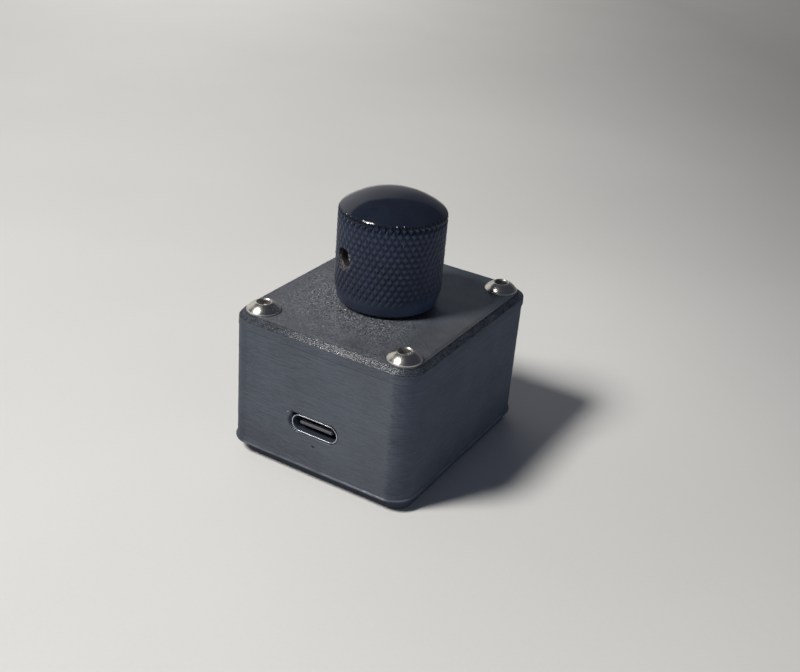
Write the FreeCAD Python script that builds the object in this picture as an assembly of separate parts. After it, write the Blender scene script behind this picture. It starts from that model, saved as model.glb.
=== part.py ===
import FreeCAD, Part
import os
import math
from FreeCAD import Vector as V

os.makedirs("parts", exist_ok=True)

# USB volume control knob: a small printed case with a rotary encoder under its
# lid, a domed metal knob on the encoder's shaft and a controller board inside
# with a USB-C receptacle in the front wall.
# Origin: bottom centre of the case. +Z up, -Y is the front (USB side), +X right.

# ---------------------------------------------------------------- driving sizes
W = 35.0             # case width, X
D = 41.0             # case depth, Y
RC = 4.0             # vertical corner radius
PAD_T = 2.0          # anti-slip pad thickness
PAD_INSET_X = 1.0    # pad smaller than the case on each side
PAD_INSET_Y = 1.1
PAD_SHIFT_X = 0.7    # the pad is stuck on slightly off centre
Z_BODY0 = PAD_T
Z_SEAM = 23.6        # underside of the lid
Z_LID = 26.0         # top of the lid
LID_CH = 1.0         # chamfer round the lid's top edge
FLARE_BODY = 0.3     # first printed layers spread a little
FLARE_LID = 0.25
WALL = 2.0
FLOOR = 2.0
S_IN = 4.0           # screw centres from the case's sides
POST_R = 3.6
# fasteners
M3_R = 1.5
HEAD_R, HEAD_H = 2.85, 1.65
HEX_AF, HEX_DEEP = 2.0, 1.05
LID_HOLE_R = 1.7
INSERT_R, INSERT_H = 2.1, 5.0
# USB-C receptacle
USB_X, USB_Z = 0.15, 10.1
USB_W, USB_H = 8.94, 3.16
USB_T = 0.30
USB_LEN = 7.35
CUT_W, CUT_H, CUT_X = 9.9, 3.9, -0.2
# controller board
PCB_W, PCB_L, PCB_T = 18.0, 33.0, 1.6
PCB_Z1 = USB_Z - USB_H / 2.0          # top face, 8.52
PCB_Z0 = PCB_Z1 - PCB_T
PCB_Y0 = -18.3
PAD_X = 7.62                          # rows of plated holes
PITCH = 2.54
# encoder
ENC = 5.9                             # half width of the encoder's body
Z_FLANGE = 22.6
Z_PLATE = 22.3
Z_HOUS0 = 17.2
Z_BASE0 = 15.7
BUSH_R, Z_BUSH = 3.5, 30.6
SHAFT_R, Z_SHAFT = 3.0, 38.6
Z_STEP = 22.9                         # where the round shaft becomes double-D
Z_TIP = 18.45
PUSH = 0.5                            # switch travel
# knob
KN_R = 9.1
KN_R0 = 8.4                           # radius at the base, below the bevel
KN_Z0, KN_BEVEL, KN_Z1 = 26.6, 28.8, 42.4
DOME_H = 3.2
SET_AZ = math.radians(243.0)          # direction that the set screw faces
SET_Z = 35.0
SET_LEN = 6.0


def rr(w, d, r, z, cx=0.0, cy=0.0):
    """Rounded rectangle wire in a horizontal plane."""
    a, b = w / 2.0, d / 2.0
    k = r * math.sqrt(0.5)
    e = []
    e.append(Part.LineSegment(V(cx - a + r, cy - b, z), V(cx + a - r, cy - b, z)))
    e.append(Part.Arc(V(cx + a - r, cy - b, z), V(cx + a - r + k, cy - b + r - k, z), V(cx + a, cy - b + r, z)))
    e.append(Part.LineSegment(V(cx + a, cy - b + r, z), V(cx + a, cy + b - r, z)))
    e.append(Part.Arc(V(cx + a, cy + b - r, z), V(cx + a - r + k, cy + b - r + k, z), V(cx + a - r, cy + b, z)))
    e.append(Part.LineSegment(V(cx + a - r, cy + b, z), V(cx - a + r, cy + b, z)))
    e.append(Part.Arc(V(cx - a + r, cy + b, z), V(cx - a + r - k, cy + b - r + k, z), V(cx - a, cy + b - r, z)))
    e.append(Part.LineSegment(V(cx - a, cy + b - r, z), V(cx - a, cy - b + r, z)))
    e.append(Part.Arc(V(cx - a, cy - b + r, z), V(cx - a + r - k, cy - b + r - k, z), V(cx - a + r, cy - b, z)))
    return Part.Wire([x.toShape() for x in e])


def slab(w, d, r, z0, z1, cx=0.0, cy=0.0):
    return Part.Face(rr(w, d, r, z0, cx, cy)).extrude(V(0, 0, z1 - z0))


def box(x0, y0, z0, x1, y1, z1):
    return Part.makeBox(x1 - x0, y1 - y0, z1 - z0, V(x0, y0, z0))


def cyl(r, z0, z1, x=0.0, y=0.0):
    return Part.makeCylinder(r, z1 - z0, V(x, y, z0))


def ring(ro, ri, z0, z1, x=0.0, y=0.0):
    return cyl(ro, z0, z1, x, y).cut(cyl(ri, z0 - 1, z1 + 1, x, y))


def slot_y(w, h, y0, y1, cx, cz):
    """Stadium of width w and height h in the XZ plane, run from y0 to y1."""
    r = h / 2.0
    s = w / 2.0 - r
    e = [Part.LineSegment(V(cx - s, y0, cz - r), V(cx + s, y0, cz - r)),
         Part.Arc(V(cx + s, y0, cz - r), V(cx + s + r, y0, cz), V(cx + s, y0, cz + r)),
         Part.LineSegment(V(cx + s, y0, cz + r), V(cx - s, y0, cz + r)),
         Part.Arc(V(cx - s, y0, cz + r), V(cx - s - r, y0, cz), V(cx - s, y0, cz - r))]
    f = Part.Face(Part.Wire([x.toShape() for x in e]))
    return f.extrude(V(0, y1 - y0, 0))


def hexagon(af, z0, z1, x=0.0, y=0.0, turn=0.0):
    rc = af / math.sqrt(3.0)
    p = [V(x + rc * math.cos(turn + math.pi / 3 * i), y + rc * math.sin(turn + math.pi / 3 * i), z0) for i in range(7)]
    p[6] = p[0]
    return Part.Face(Part.makePolygon(p)).extrude(V(0, 0, z1 - z0))


def revolve(pts):
    """Closed profile of (r, z) points turned about Z."""
    p = [V(r, 0, z) for r, z in pts]
    p.append(p[0])
    return Part.Face(Part.makePolygon(p)).revolve(V(0, 0, 0), V(0, 0, 1), 360)


def edges_at(shape, z):
    return [e for e in shape.Edges if all(abs(v.Z - z) < 1e-6 for v in e.Vertexes)
            and abs(e.BoundBox.ZMax - z) < 1e-6 and abs(e.BoundBox.ZMin - z) < 1e-6]


def save(name, shapes):
    if not isinstance(shapes, (list, tuple)):
        shapes = [shapes]
    solids = []
    for s in shapes:
        solids.extend(s.Solids)
    for s in solids:
        if not (s.isValid() and s.isClosed() and s.Volume > 0):
            raise RuntimeError("bad solid in " + name)
    out = solids[0] if len(solids) == 1 else Part.makeCompound(solids)
    out.exportStep("parts/%s.step" % name)
    print("%-20s %2d solid(s) %9.3f mm3" % (name, len(solids), sum(s.Volume for s in solids)))
    return out


corners = [(sx * (W / 2 - S_IN), sy * (D / 2 - S_IN)) for sx in (-1, 1) for sy in (-1, 1)]

# ------------------------------------------------------------------- case
pad = slab(W - 2 * PAD_INSET_X - 0.6, D - 2 * PAD_INSET_Y, RC - 1.0, 0.0, PAD_T, PAD_SHIFT_X, 0.0)
save("anti_slip_pad", pad)

body = slab(W, D, RC, Z_BODY0, Z_SEAM)
foot = slab(W + 2 * FLARE_BODY, D + 2 * FLARE_BODY, RC + FLARE_BODY, Z_BODY0, Z_BODY0 + 0.3)
skirt = Part.makeLoft([rr(W + 2 * FLARE_BODY, D + 2 * FLARE_BODY, RC + FLARE_BODY, Z_BODY0 + 0.3),
                       rr(W, D, RC, Z_BODY0 + 1.1)], True, True)
body = body.fuse([foot, skirt])
body = body.cut(slab(W - 2 * WALL, D - 2 * WALL, RC - WALL, Z_BODY0 + FLOOR, Z_SEAM + 1))
z_in = Z_BODY0 + FLOOR
add = []
for x, y in corners:
    add.append(cyl(POST_R, z_in - 0.5, Z_SEAM, x, y))
# board rails: a ledge under each long side and a low wall beside it
for s in (-1, 1):
    x0, x1 = sorted((s * 8.35, s * 10.5))
    add.append(box(x0, -18.9, z_in - 0.5, x1, 13.2, PCB_Z0))
    x0, x1 = sorted((s * 9.15, s * 10.5))
    add.append(box(x0, -18.9, z_in - 0.5, x1, 3.6, PCB_Z0 + 1.2))
    add.append(cyl(2.6, z_in - 0.5, PCB_Z1, s * 12.2, 7.3))
# stop behind the board, and a rest under its middle
add.append(box(-5.0, 14.85, z_in - 0.5, 5.0, 16.2, PCB_Z1 + 0.6))
add.append(box(-5.0, 12.2, z_in - 0.5, 5.0, 14.9, PCB_Z0))
body = body.fuse(add)
# keep the rails and posts inside the case outline
body = body.common(slab(W + 2 * FLARE_BODY, D + 2 * FLARE_BODY, RC + FLARE_BODY, Z_BODY0, Z_SEAM))
holes = [slot_y(CUT_W, CUT_H, -D / 2 - 1, -D / 2 + WALL + 0.6, CUT_X, USB_Z)]
for x, y in corners:
    holes.append(cyl(INSERT_R + 0.02, Z_SEAM - INSERT_H - 1.2, Z_SEAM + 1, x, y))
for s in (-1, 1):
    holes.append(cyl(1.02, PCB_Z1 - 4.6, PCB_Z1 + 1, s * 12.2, 7.3))
body = body.cut(holes)
body = body.removeSplitter()
save("body_shell", body)

lid = slab(W, D, RC, Z_SEAM, Z_LID)
lid = lid.makeChamfer(LID_CH, edges_at(lid, Z_LID))
lf = slab(W + 2 * FLARE_LID, D + 2 * FLARE_LID, RC + FLARE_LID, Z_SEAM, Z_SEAM + 0.25)
ls = Part.makeLoft([rr(W + 2 * FLARE_LID, D + 2 * FLARE_LID, RC + FLARE_LID, Z_SEAM + 0.25),
                    rr(W, D, RC, Z_SEAM + 0.75)], True, True)
lip = slab(W - 2 * WALL - 0.3, D - 2 * WALL - 0.3, RC - WALL - 0.15, Z_SEAM - 1.2, Z_SEAM + 0.2)
lip = lip.cut(slab(W - 2 * WALL - 2.7, D - 2 * WALL - 2.7, 0.8, Z_SEAM - 2, Z_SEAM + 1))
lip = lip.cut([cyl(POST_R + 0.25, Z_SEAM - 2, Z_SEAM, x, y) for x, y in corners])
lid = lid.fuse([lf, ls, lip])
cuts = [cyl(LID_HOLE_R, Z_SEAM - 2, Z_LID + 1, x, y) for x, y in corners]
cuts.append(cyl(BUSH_R + 0.1, Z_SEAM - 2, Z_LID + 1))
cuts.append(box(-5.7, -1.15, Z_SEAM - 0.5, -4.9, 1.15, Z_SEAM + 1.1))     # pocket for the locating tab
lid = lid.cut(cuts).removeSplitter()
save("lid", lid)

# M3 button-head screws with a hex socket
hr, hh = HEAD_R, HEAD_H
sag = 1.45
rad = (hr * hr + sag * sag) / (2 * sag)
screws = []
for i, (x, y) in enumerate(corners):
    n = 10
    a_top = math.asin(1.35 / rad)
    a_rim = math.asin(hr / rad)
    zc = Z_LID + 0.2 + sag - rad
    z_top = zc + rad * math.cos(a_top)
    prof = [(0.0, z_top)]
    for k in range(n + 1):
        a = a_top + (a_rim - a_top) * k / n
        prof.append((rad * math.sin(a), zc + rad * math.cos(a)))
    prof.append((hr, Z_LID))
    prof.append((0.0, Z_LID))
    head = revolve(prof)
    sh = head.fuse(cyl(M3_R, Z_LID - 8.0, Z_LID + 0.1))
    sh = sh.cut(hexagon(HEX_AF, z_top - HEX_DEEP, z_top + 1, 0, 0, 0.3 + 0.7 * i)).removeSplitter()
    sh.translate(V(x, y, 0))
    screws.append(sh)
save("lid_screws", screws)
save("threaded_inserts", [ring(INSERT_R, M3_R + 0.02, Z_SEAM - INSERT_H, Z_SEAM, x, y) for x, y in corners])

# ------------------------------------------------------------- controller board
y0, y1 = PCB_Y0, PCB_Y0 + PCB_L
pcb = box(-PCB_W / 2, y0, PCB_Z0, PCB_W / 2, y1, PCB_Z1)
hole_y = [-13.97 + PITCH * k for k in range(12)]
cut = [cyl(0.5, PCB_Z0 - 1, PCB_Z1 + 1, s * PAD_X, y) for s in (-1, 1) for y in hole_y]
for s in (-1, 1):
    for yy in (-17.4, -14.2):
        cut.append(box(USB_X + s * 4.62 - 0.25, yy - 0.6, PCB_Z0 - 1, USB_X + s * 4.62 + 0.25, yy + 0.6, PCB_Z1 + 1))
pcb = pcb.cut(cut)
save("controller_board", pcb)

yf = -D / 2 - 0.05
shell = slot_y(USB_W, USB_H, yf, yf + USB_LEN, USB_X, USB_Z)
shell = shell.cut(slot_y(USB_W - 2 * USB_T, USB_H - 2 * USB_T, yf - 1, yf + USB_LEN - 1.0, USB_X, USB_Z))
legs = []
for s in (-1, 1):
    for yy in (-17.4, -14.2):
        x0, x1 = sorted((s * 4.47, s * 4.77))
        legs.append(box(USB_X + x0, yy - 0.45, PCB_Z0 + 0.1, USB_X + x1, yy + 0.45, USB_Z + 0.3))
        x0, x1 = sorted((s * 4.25, s * 4.6))
        legs.append(box(USB_X + x0, yy - 0.45, USB_Z - 0.3, USB_X + x1, yy + 0.45, USB_Z + 0.3))
shell = shell.fuse([g.cut(slot_y(USB_W - 0.4, USB_H - 0.4, -19, -12, USB_X, USB_Z)) for g in legs]).removeSplitter()
save("usb_c_shell", shell)
ton_y0, ton_y1 = yf + 0.45, yf + USB_LEN - 1.02
save("usb_c_tongue", box(USB_X - 3.345, ton_y0, USB_Z - 0.35, USB_X + 3.345, ton_y1, USB_Z + 0.35))
con = []
for k in range(12):
    x = USB_X - 2.75 + 0.5 * k
    con.append(box(x - 0.13, ton_y0 + 0.35, USB_Z + 0.352, x + 0.13, ton_y1 - 0.6, USB_Z + 0.402))
    con.append(box(x - 0.13, ton_y0 + 0.35, USB_Z - 0.402, x + 0.13, ton_y1 - 0.6, USB_Z - 0.352))
save("usb_c_contacts", con)

zt = PCB_Z1
mcu = slab(7.0, 7.0, 0.2, zt, zt + 0.9, 0, -2.0).cut(cyl(0.35, zt + 0.8, zt + 2, -2.7, 0.7))
save("microcontroller", mcu)
xt = slab(3.2, 2.5, 0.3, zt, zt + 0.5, 0, -8.6).fuse(slab(2.8, 2.1, 0.25, zt + 0.5, zt + 0.8, 0, -8.6))
save("crystal", xt)
reg = box(-5.1, -10.0, zt + 0.1, -3.5, -7.1, zt + 1.2)
rl = []
for yy in (-9.5, -8.55, -7.6):
    rl.append(box(-5.7, yy - 0.2, zt, -5.0, yy + 0.2, zt + 0.25))
for yy in (-9.5, -7.6):
    rl.append(box(-3.6, yy - 0.2, zt, -2.9, yy + 0.2, zt + 0.25))
save("voltage_regulator", reg.fuse(rl).removeSplitter())
cp = [(4.4, -9.6), (4.4, -8.0), (4.6, -5.6), (4.6, 0.6), (-4.8, -4.6), (-4.8, 0.2), (-2.2, 3.0), (1.2, -11.6)]
save("chip_capacitors", [box(x - 0.8, y - 0.4, zt, x + 0.8, y + 0.4, zt + 0.8) for x, y in cp])
rs = [(4.6, -3.6), (4.6, -1.6), (-4.8, -2.8), (-4.8, -1.2), (2.2, 3.0), (-1.6, -11.6)]
save("chip_resistors", [box(x - 0.8, y - 0.4, zt, x + 0.8, y + 0.4, zt + 0.45) for x, y in rs])
save("indicator_leds", [slab(1.6, 0.8, 0.15, zt, zt + 0.6, s * 5.0, 3.4) for s in (-1, 1)])
rsx = slab(4.4, 3.4, 0.3, zt, zt + 1.5, 0, 12.2).cut(cyl(0.95, zt + 0.8, zt + 3, 0, 12.2))
save("reset_switch_case", rsx)
save("reset_button", cyl(0.88, zt + 1.08, zt + 1.9, 0, 12.2))
ends = {"wire_a": (-PAD_X, hole_y[1]), "wire_b": (PAD_X, hole_y[1]), "wire_common": (PAD_X, hole_y[0]),
        "wire_switch_1": (-PAD_X, hole_y[10]), "wire_switch_2": (PAD_X, hole_y[10])}
Z_SOL = zt + 0.5
sol = []
for x, y in ends.values():
    c = Part.makeCone(0.85, 0.45, 0.5, V(x, y, zt))
    sol.append(c)
save("solder_joints", sol)

clamp = slab(29.6, 4.4, 0.8, zt, zt + 2.0, 0, 7.3)
clamp = clamp.cut([cyl(1.15, zt - 1, zt + 3, s * 12.2, 7.3) for s in (-1, 1)])
clamp = clamp.makeChamfer(0.4, [e for e in edges_at(clamp, zt + 2.0) if e.Length > 2.0 and not (abs(e.BoundBox.XLength - 2.3) < 0.01)])
save("board_clamp", clamp)
cs = []
for s in (-1, 1):
    h = cyl(1.9, zt + 2.0, zt + 3.2, s * 12.2, 7.3)
    h = h.makeFillet(0.5, edges_at(h, zt + 3.2))
    h = h.fuse(cyl(1.0, zt - 4.0, zt + 2.1, s * 12.2, 7.3))
    h = h.cut([box(s * 12.2 - 1.1, 7.3 - 0.2, zt + 2.6, s * 12.2 + 1.1, 7.3 + 0.2, zt + 4),
               box(s * 12.2 - 0.2, 7.3 - 1.1, zt + 2.6, s * 12.2 + 0.2, 7.3 + 1.1, zt + 4)])
    cs.append(h.removeSplitter())
save("clamp_screws", cs)

# ------------------------------------------------------------------- encoder
E2 = 2 * ENC
bush = slab(E2, E2, 0.6, Z_FLANGE, Z_SEAM).fuse([cyl(BUSH_R, Z_FLANGE, Z_BUSH), box(-5.6, -1.0, Z_FLANGE, -5.0, 1.0, Z_SEAM + 1.0)])
bush = bush.makeChamfer(0.3, edges_at(bush, Z_BUSH))
bush = bush.cut(cyl(SHAFT_R + 0.04, Z_FLANGE - 1, Z_BUSH + 1)).removeSplitter()
save("encoder_bushing", bush)

t = 0.3
br = box(-ENC - t, -ENC, Z_PLATE, ENC + t, ENC, Z_FLANGE).cut(cyl(3.3, Z_PLATE - 1, Z_FLANGE + 1))
bits = []
for s in (-1, 1):
    x0, x1 = sorted((s * (ENC + 0.02), s * (ENC + t)))
    bits.append(box(x0, -3.0, Z_BASE0 - t - 0.02, x1, 3.0, Z_PLATE + 0.1))
    xa, xb = sorted((s * (ENC - 1.1), s * (ENC + t)))
    bits.append(box(xa, -3.0, Z_BASE0 - t - 0.02, xb, -1.6, Z_BASE0 - 0.02))
    bits.append(box(xa, 1.6, Z_BASE0 - t - 0.02, xb, 3.0, Z_BASE0 - 0.02))
    bits.append(box(x0, -1.0, 13.4, x1, 1.0, Z_BASE0))
br = br.fuse(bits).removeSplitter()
save("encoder_bracket", br)

hous = slab(E2, E2, 0.5, Z_HOUS0, Z_PLATE).cut(cyl(5.25, Z_HOUS0 - 1, Z_PLATE + 1))
save("encoder_housing", hous)

base = slab(E2, E2, 0.5, Z_BASE0, Z_HOUS0).fuse(cyl(5.18, Z_HOUS0 - 0.1, 19.6))
base = base.cut(cyl(3.2, 16.5, 20.5))
pin_cut = []
for x in (-2.5, 0.0, 2.5):
    pin_cut.append(box(x - 0.45, -ENC - 1, 16.15, x + 0.45, -ENC + 1.2, 16.55))
for x in (-2.5, 2.5):
    pin_cut.append(box(x - 0.45, ENC - 1.2, 16.15, x + 0.45, ENC + 1, 16.55))
base = base.cut(pin_cut).removeSplitter()
save("encoder_base", base)

tr = []
for ro, ri in ((3.9, 3.45), (4.4, 4.0), (4.95, 4.5)):
    tr.append(ring(ro, ri, 19.6, 19.75))
save("contact_tracks", tr)


def pin(x, s):
    a = box(x - 0.4, -7.35, 16.2, x + 0.4, -ENC + 1.1, 16.5)
    b = box(x - 0.4, -7.35, 13.2, x + 0.4, -7.05, 16.5)
    p = a.fuse(b).removeSplitter()
    if s > 0:
        p = p.mirror(V(0, 0, 0), V(0, 1, 0))
    return p


save("encoder_pins", [pin(x, -1) for x in (-2.5, 0.0, 2.5)])
save("switch_pins", [pin(x, 1) for x in (-2.5, 2.5)])

ds = ring(5.0, 3.45, 22.15, Z_PLATE)
nose = Part.makeCylinder(0.3, 1.2, V(3.7, 0, 22.13), V(1, 0, 0))
ds = ds.fuse(nose.common(box(3, -1, 21.0, 5.0, 1, 22.3))).removeSplitter()
save("detent_spring", ds)

flats = 1.6                                         # half width over the shaft's two flats
N_DET = 20
rot = cyl(5.1, 20.3, 21.8).fuse(cyl(2.9, 19.2, 20.35))
rot = rot.cut(cyl(2.25, 19, 22).common(box(-3, -flats - 0.05, 19, 3, flats + 0.05, 22)))
notches = []
for k in range(N_DET):
    c = Part.makeCylinder(0.3, 1.6, V(3.6, 0, 21.95), V(1, 0, 0))
    c.rotate(V(0, 0, 0), V(0, 0, 1), 360.0 / N_DET * k)
    notches.append(c)
rot = rot.cut(notches).removeSplitter()
save("encoder_rotor", rot)
wp = ring(4.95, 3.3, 20.15, 20.3)
fin = []
for k, r in enumerate((3.68, 4.2, 4.72)):
    for j in range(2):
        b = box(-0.5, r - 0.12, 19.82, 0.5, r + 0.12, 20.2)
        b.rotate(V(0, 0, 0), V(0, 0, 1), 40.0 * k + 180.0 * j)
        fin.append(b)
wp = wp.fuse(fin).removeSplitter()
save("rotor_wiper", wp)

# shaft: round above, double-D through the rotor, one flat for the set screw
sh = cyl(SHAFT_R, Z_STEP, Z_SHAFT)
sh = sh.makeChamfer(0.4, edges_at(sh, Z_SHAFT))
low = cyl(2.2, Z_TIP, Z_STEP + 0.1).common(box(-3, -flats, Z_TIP - 1, 3, flats, Z_STEP + 0.1))
low = low.cut(ring(3.0, 1.5, 18.72, 19.13))
sh = sh.fuse(low)
fl = box(1.5, -4, Z_SHAFT - 7.4, 4, 4, Z_SHAFT + 1)
fl.rotate(V(0, 0, 0), V(0, 0, 1), math.degrees(SET_AZ))
sh = sh.cut(fl).removeSplitter()
save("encoder_shaft", sh)
clip = ring(2.7, 1.52, 18.75, 19.1).cut(box(0, -1.1, 18, 4, 1.1, 20))
save("shaft_clip", clip)

pl = cyl(3.1, 17.3, 18.0).fuse(cyl(1.2, 17.3, 18.4)).removeSplitter()
save("switch_plunger", pl)
# snap dome: a thin spherical cap
def cap(r, h, z0, n=8):
    R = (r * r + h * h) / (2 * h)
    am = math.asin(r / R)
    return [(R * math.sin(am * k / n), z0 + h - R + R * math.cos(am * k / n)) for k in range(n + 1)]
outer = cap(2.9, 0.62, 16.6)
inner = [(r, z - 0.1) for r, z in cap(2.9, 0.62, 16.6)]
dome = revolve(outer + inner[::-1][:-1] + [inner[0]])
save("switch_dome", dome)

save("panel_washer", ring(5.8, 3.6, Z_LID, Z_LID + 0.5))
nut = hexagon(10.0, Z_LID + 0.5, Z_LID + 2.5, 0, 0, 0.4)
nut = nut.common(Part.makeCone(8.2, 4.6, 3.6, V(0, 0, Z_LID + 0.2)).fuse(cyl(5.2, Z_LID, Z_LID + 4)))
nut = nut.cut(cyl(BUSH_R + 0.02, Z_LID - 1, Z_LID + 4)).removeSplitter()
save("panel_nut", nut)

# ------------------------------------------------------------------- knob
R = (KN_R * KN_R + DOME_H * DOME_H) / (2 * DOME_H)
am = math.asin(KN_R / R)
arc_mid = V(R * math.sin(am / 2), 0, KN_Z1 + DOME_H - R + R * math.cos(am / 2))
apex = V(0, 0, KN_Z1 + DOME_H)
rim = V(KN_R, 0, KN_Z1)
pts = [V(KN_R, 0, KN_Z1), V(KN_R, 0, KN_BEVEL), V(KN_R0, 0, KN_Z0), V(6.3, 0, KN_Z0), V(6.3, 0, 29.5),
       V(3.8, 0, 29.5), V(3.8, 0, 31.4), V(3.05, 0, 31.4), V(3.05, 0, 39.4), V(0, 0, 39.4), apex]
ed = [Part.Arc(apex, arc_mid, rim).toShape()]
for a, b in zip(pts[:-1], pts[1:]):
    ed.append(Part.LineSegment(a, b).toShape())
kn = Part.Face(Part.Wire(ed)).revolve(V(0, 0, 0), V(0, 0, 1), 360)
dirn = V(math.cos(SET_AZ), math.sin(SET_AZ), 0)
kn = kn.cut([Part.makeCylinder(M3_R, 8.5, V(0, 0, SET_Z) + dirn * 2.0, dirn),
             Part.makeCone(M3_R - 0.1, M3_R + 0.5, 0.6, V(0, 0, SET_Z) + dirn * (KN_R - 0.38), dirn)])
save("knob", kn)
ss = Part.makeCylinder(M3_R - 0.02, SET_LEN, V(0, 0, SET_Z) + dirn * 1.52, dirn)
hx = hexagon(1.5, 0, 2.2)
hx.rotate(V(0, 0, 0), V(0, 1, 0), 90)
hx.translate(V(1.52 + SET_LEN - 1.4, 0, 0))
hx.rotate(V(0, 0, 0), V(0, 0, 1), math.degrees(SET_AZ))
hx.translate(V(0, 0, SET_Z))
ss = ss.cut(hx)
save("knob_set_screw", ss)

# ------------------------------------------------------------- hookup wires
WR = 0.3


def tube(points, r, name):
    """Straight runs joined by tangent arcs, swept with a round section."""
    p = [V(*q) for q in points]
    edges = []
    cur = p[0]
    radii = []
    length = 0.0
    for i in range(1, len(p) - 1):
        a = p[i] - p[i - 1]
        b = p[i + 1] - p[i]
        la, lb = a.Length, b.Length
        a.normalize()
        b.normalize()
        half = math.acos(max(-1.0, min(1.0, a.dot(b)))) / 2.0
        rad = 0.45 * min(la, lb) / math.tan(half)
        tl = rad * math.tan(half)
        s = p[i] - a * tl
        e = p[i] + b * tl
        bis = (b - a)
        bis.normalize()
        mid = p[i] + bis * (rad / math.cos(half) - rad)
        edges.append(Part.LineSegment(cur, s).toShape())
        edges.append(Part.Arc(s, mid, e).toShape())
        length += (s - cur).Length + rad * 2 * half
        radii.append(rad)
        cur = e
    edges.append(Part.LineSegment(cur, p[-1]).toShape())
    length += (p[-1] - cur).Length
    path = Part.Wire(edges)
    d = p[1] - p[0]
    circ = Part.Wire([Part.Circle(p[0], d, r).toShape()])
    sol = path.makePipeShell([circ], True, True)
    want = math.pi * r * r * length
    print("   %s length %.2f radii %s volume ratio %.4f" % (name, length, ["%.2f" % q for q in radii], sol.Volume / want))
    return sol


zs = 13.6
routes = {
    "wire_a": [(-2.5, -7.36, zs), (-2.5, -10.6, zs), (-7.62, -11.43, 13.5), (-7.62, -11.43, Z_SOL)],
    "wire_b": [(2.5, -7.36, zs), (2.5, -10.6, zs), (7.62, -11.43, 13.5), (7.62, -11.43, Z_SOL)],
    "wire_common": [(0.0, -7.40, zs), (0.0, -12.9, zs + 0.5), (7.62, -13.97, 13.6), (7.62, -13.97, Z_SOL)],
    "wire_switch_1": [(-2.5, 7.36, zs), (-2.5, 10.6, zs), (-7.62, 11.43, 13.5), (-7.62, 11.43, Z_SOL)],
    "wire_switch_2": [(2.5, 7.36, zs), (2.5, 10.6, zs), (7.62, 11.43, 13.5), (7.62, 11.43, Z_SOL)],
}
for name, pts in routes.items():
    save(name, tube(pts, WR, name))
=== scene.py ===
import math

import bpy
import numpy as np
from mathutils import Matrix, Vector


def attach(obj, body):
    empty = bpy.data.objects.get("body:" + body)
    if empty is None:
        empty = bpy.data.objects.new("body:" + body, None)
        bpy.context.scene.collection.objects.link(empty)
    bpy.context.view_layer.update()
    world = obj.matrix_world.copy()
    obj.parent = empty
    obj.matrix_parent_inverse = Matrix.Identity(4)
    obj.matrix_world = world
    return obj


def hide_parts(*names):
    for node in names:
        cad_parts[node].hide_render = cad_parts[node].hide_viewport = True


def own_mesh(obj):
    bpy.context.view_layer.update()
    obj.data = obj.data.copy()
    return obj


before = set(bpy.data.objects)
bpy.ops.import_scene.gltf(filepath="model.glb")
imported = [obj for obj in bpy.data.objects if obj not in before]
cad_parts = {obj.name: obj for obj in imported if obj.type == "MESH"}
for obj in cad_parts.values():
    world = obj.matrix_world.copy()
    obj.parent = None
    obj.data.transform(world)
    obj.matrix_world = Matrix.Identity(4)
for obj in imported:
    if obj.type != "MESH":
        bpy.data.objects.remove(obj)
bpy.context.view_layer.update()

# All sizes below are in millimetres in the row frame; meshes are scaled to
# metres when an object is made final.
MM = 0.001
RNG = np.random.default_rng(20240611)

W, D, RC = 35.0, 41.0, 4.0
Z_BODY0, Z_SEAM, Z_LID = 2.0, 23.6, 26.0
LAYER = 0.2
S_IN = 4.0
CORNERS = [(sx * (W / 2 - S_IN), sy * (D / 2 - S_IN)) for sx in (-1, 1) for sy in (-1, 1)]
USB_X, USB_Z = 0.15, 10.1
PCB_Z1 = USB_Z - 1.58


# --------------------------------------------------------------- mesh helpers
def hash01(ix, iy, seed):
    v = np.sin(ix * 127.1 + iy * 311.7 + seed * 74.7) * 43758.5453
    return v - np.floor(v)


def noise2(x, y, seed=0.0):
    """Smooth value noise in -1..1 on numpy arrays."""
    x = np.asarray(x, float)
    y = np.asarray(y, float)
    ix, iy = np.floor(x), np.floor(y)
    fx, fy = x - ix, y - iy
    fx = fx * fx * (3 - 2 * fx)
    fy = fy * fy * (3 - 2 * fy)
    a = hash01(ix, iy, seed)
    b = hash01(ix + 1, iy, seed)
    c = hash01(ix, iy + 1, seed)
    d = hash01(ix + 1, iy + 1, seed)
    return 2 * ((a * (1 - fx) + b * fx) * (1 - fy) + (c * (1 - fx) + d * fx) * fy) - 1


def new_object(name, verts, faces):
    me = bpy.data.meshes.new(name)
    me.from_pydata(np.asarray(verts, float).tolist(), [], faces)
    me.validate()
    ob = bpy.data.objects.new(name, me)
    bpy.context.scene.collection.objects.link(ob)
    return ob


def ring_quads(nr, nc, start=0):
    """Quads between nr rings of nc points each, closed round each ring."""
    i = np.arange(nr - 1)[:, None] * nc
    j = np.arange(nc)[None, :]
    k = (j + 1) % nc
    q = np.stack([i + j, i + k, i + nc + k, i + nc + j], -1).reshape(-1, 4) + start
    return q.tolist()


def ring_stack(name, rings, cap0=True, cap1=True):
    """Closed skin through a list of rings, each an (n, 3) array. Rings run
    counter-clockwise seen from outside the last one."""
    nc = len(rings[0])
    v = np.concatenate(rings)
    f = ring_quads(len(rings), nc)
    if cap0:
        f.append(list(range(nc))[::-1])
    if cap1:
        s = (len(rings) - 1) * nc
        f.append(list(range(s, s + nc)))
    return new_object(name, v, f)


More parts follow.
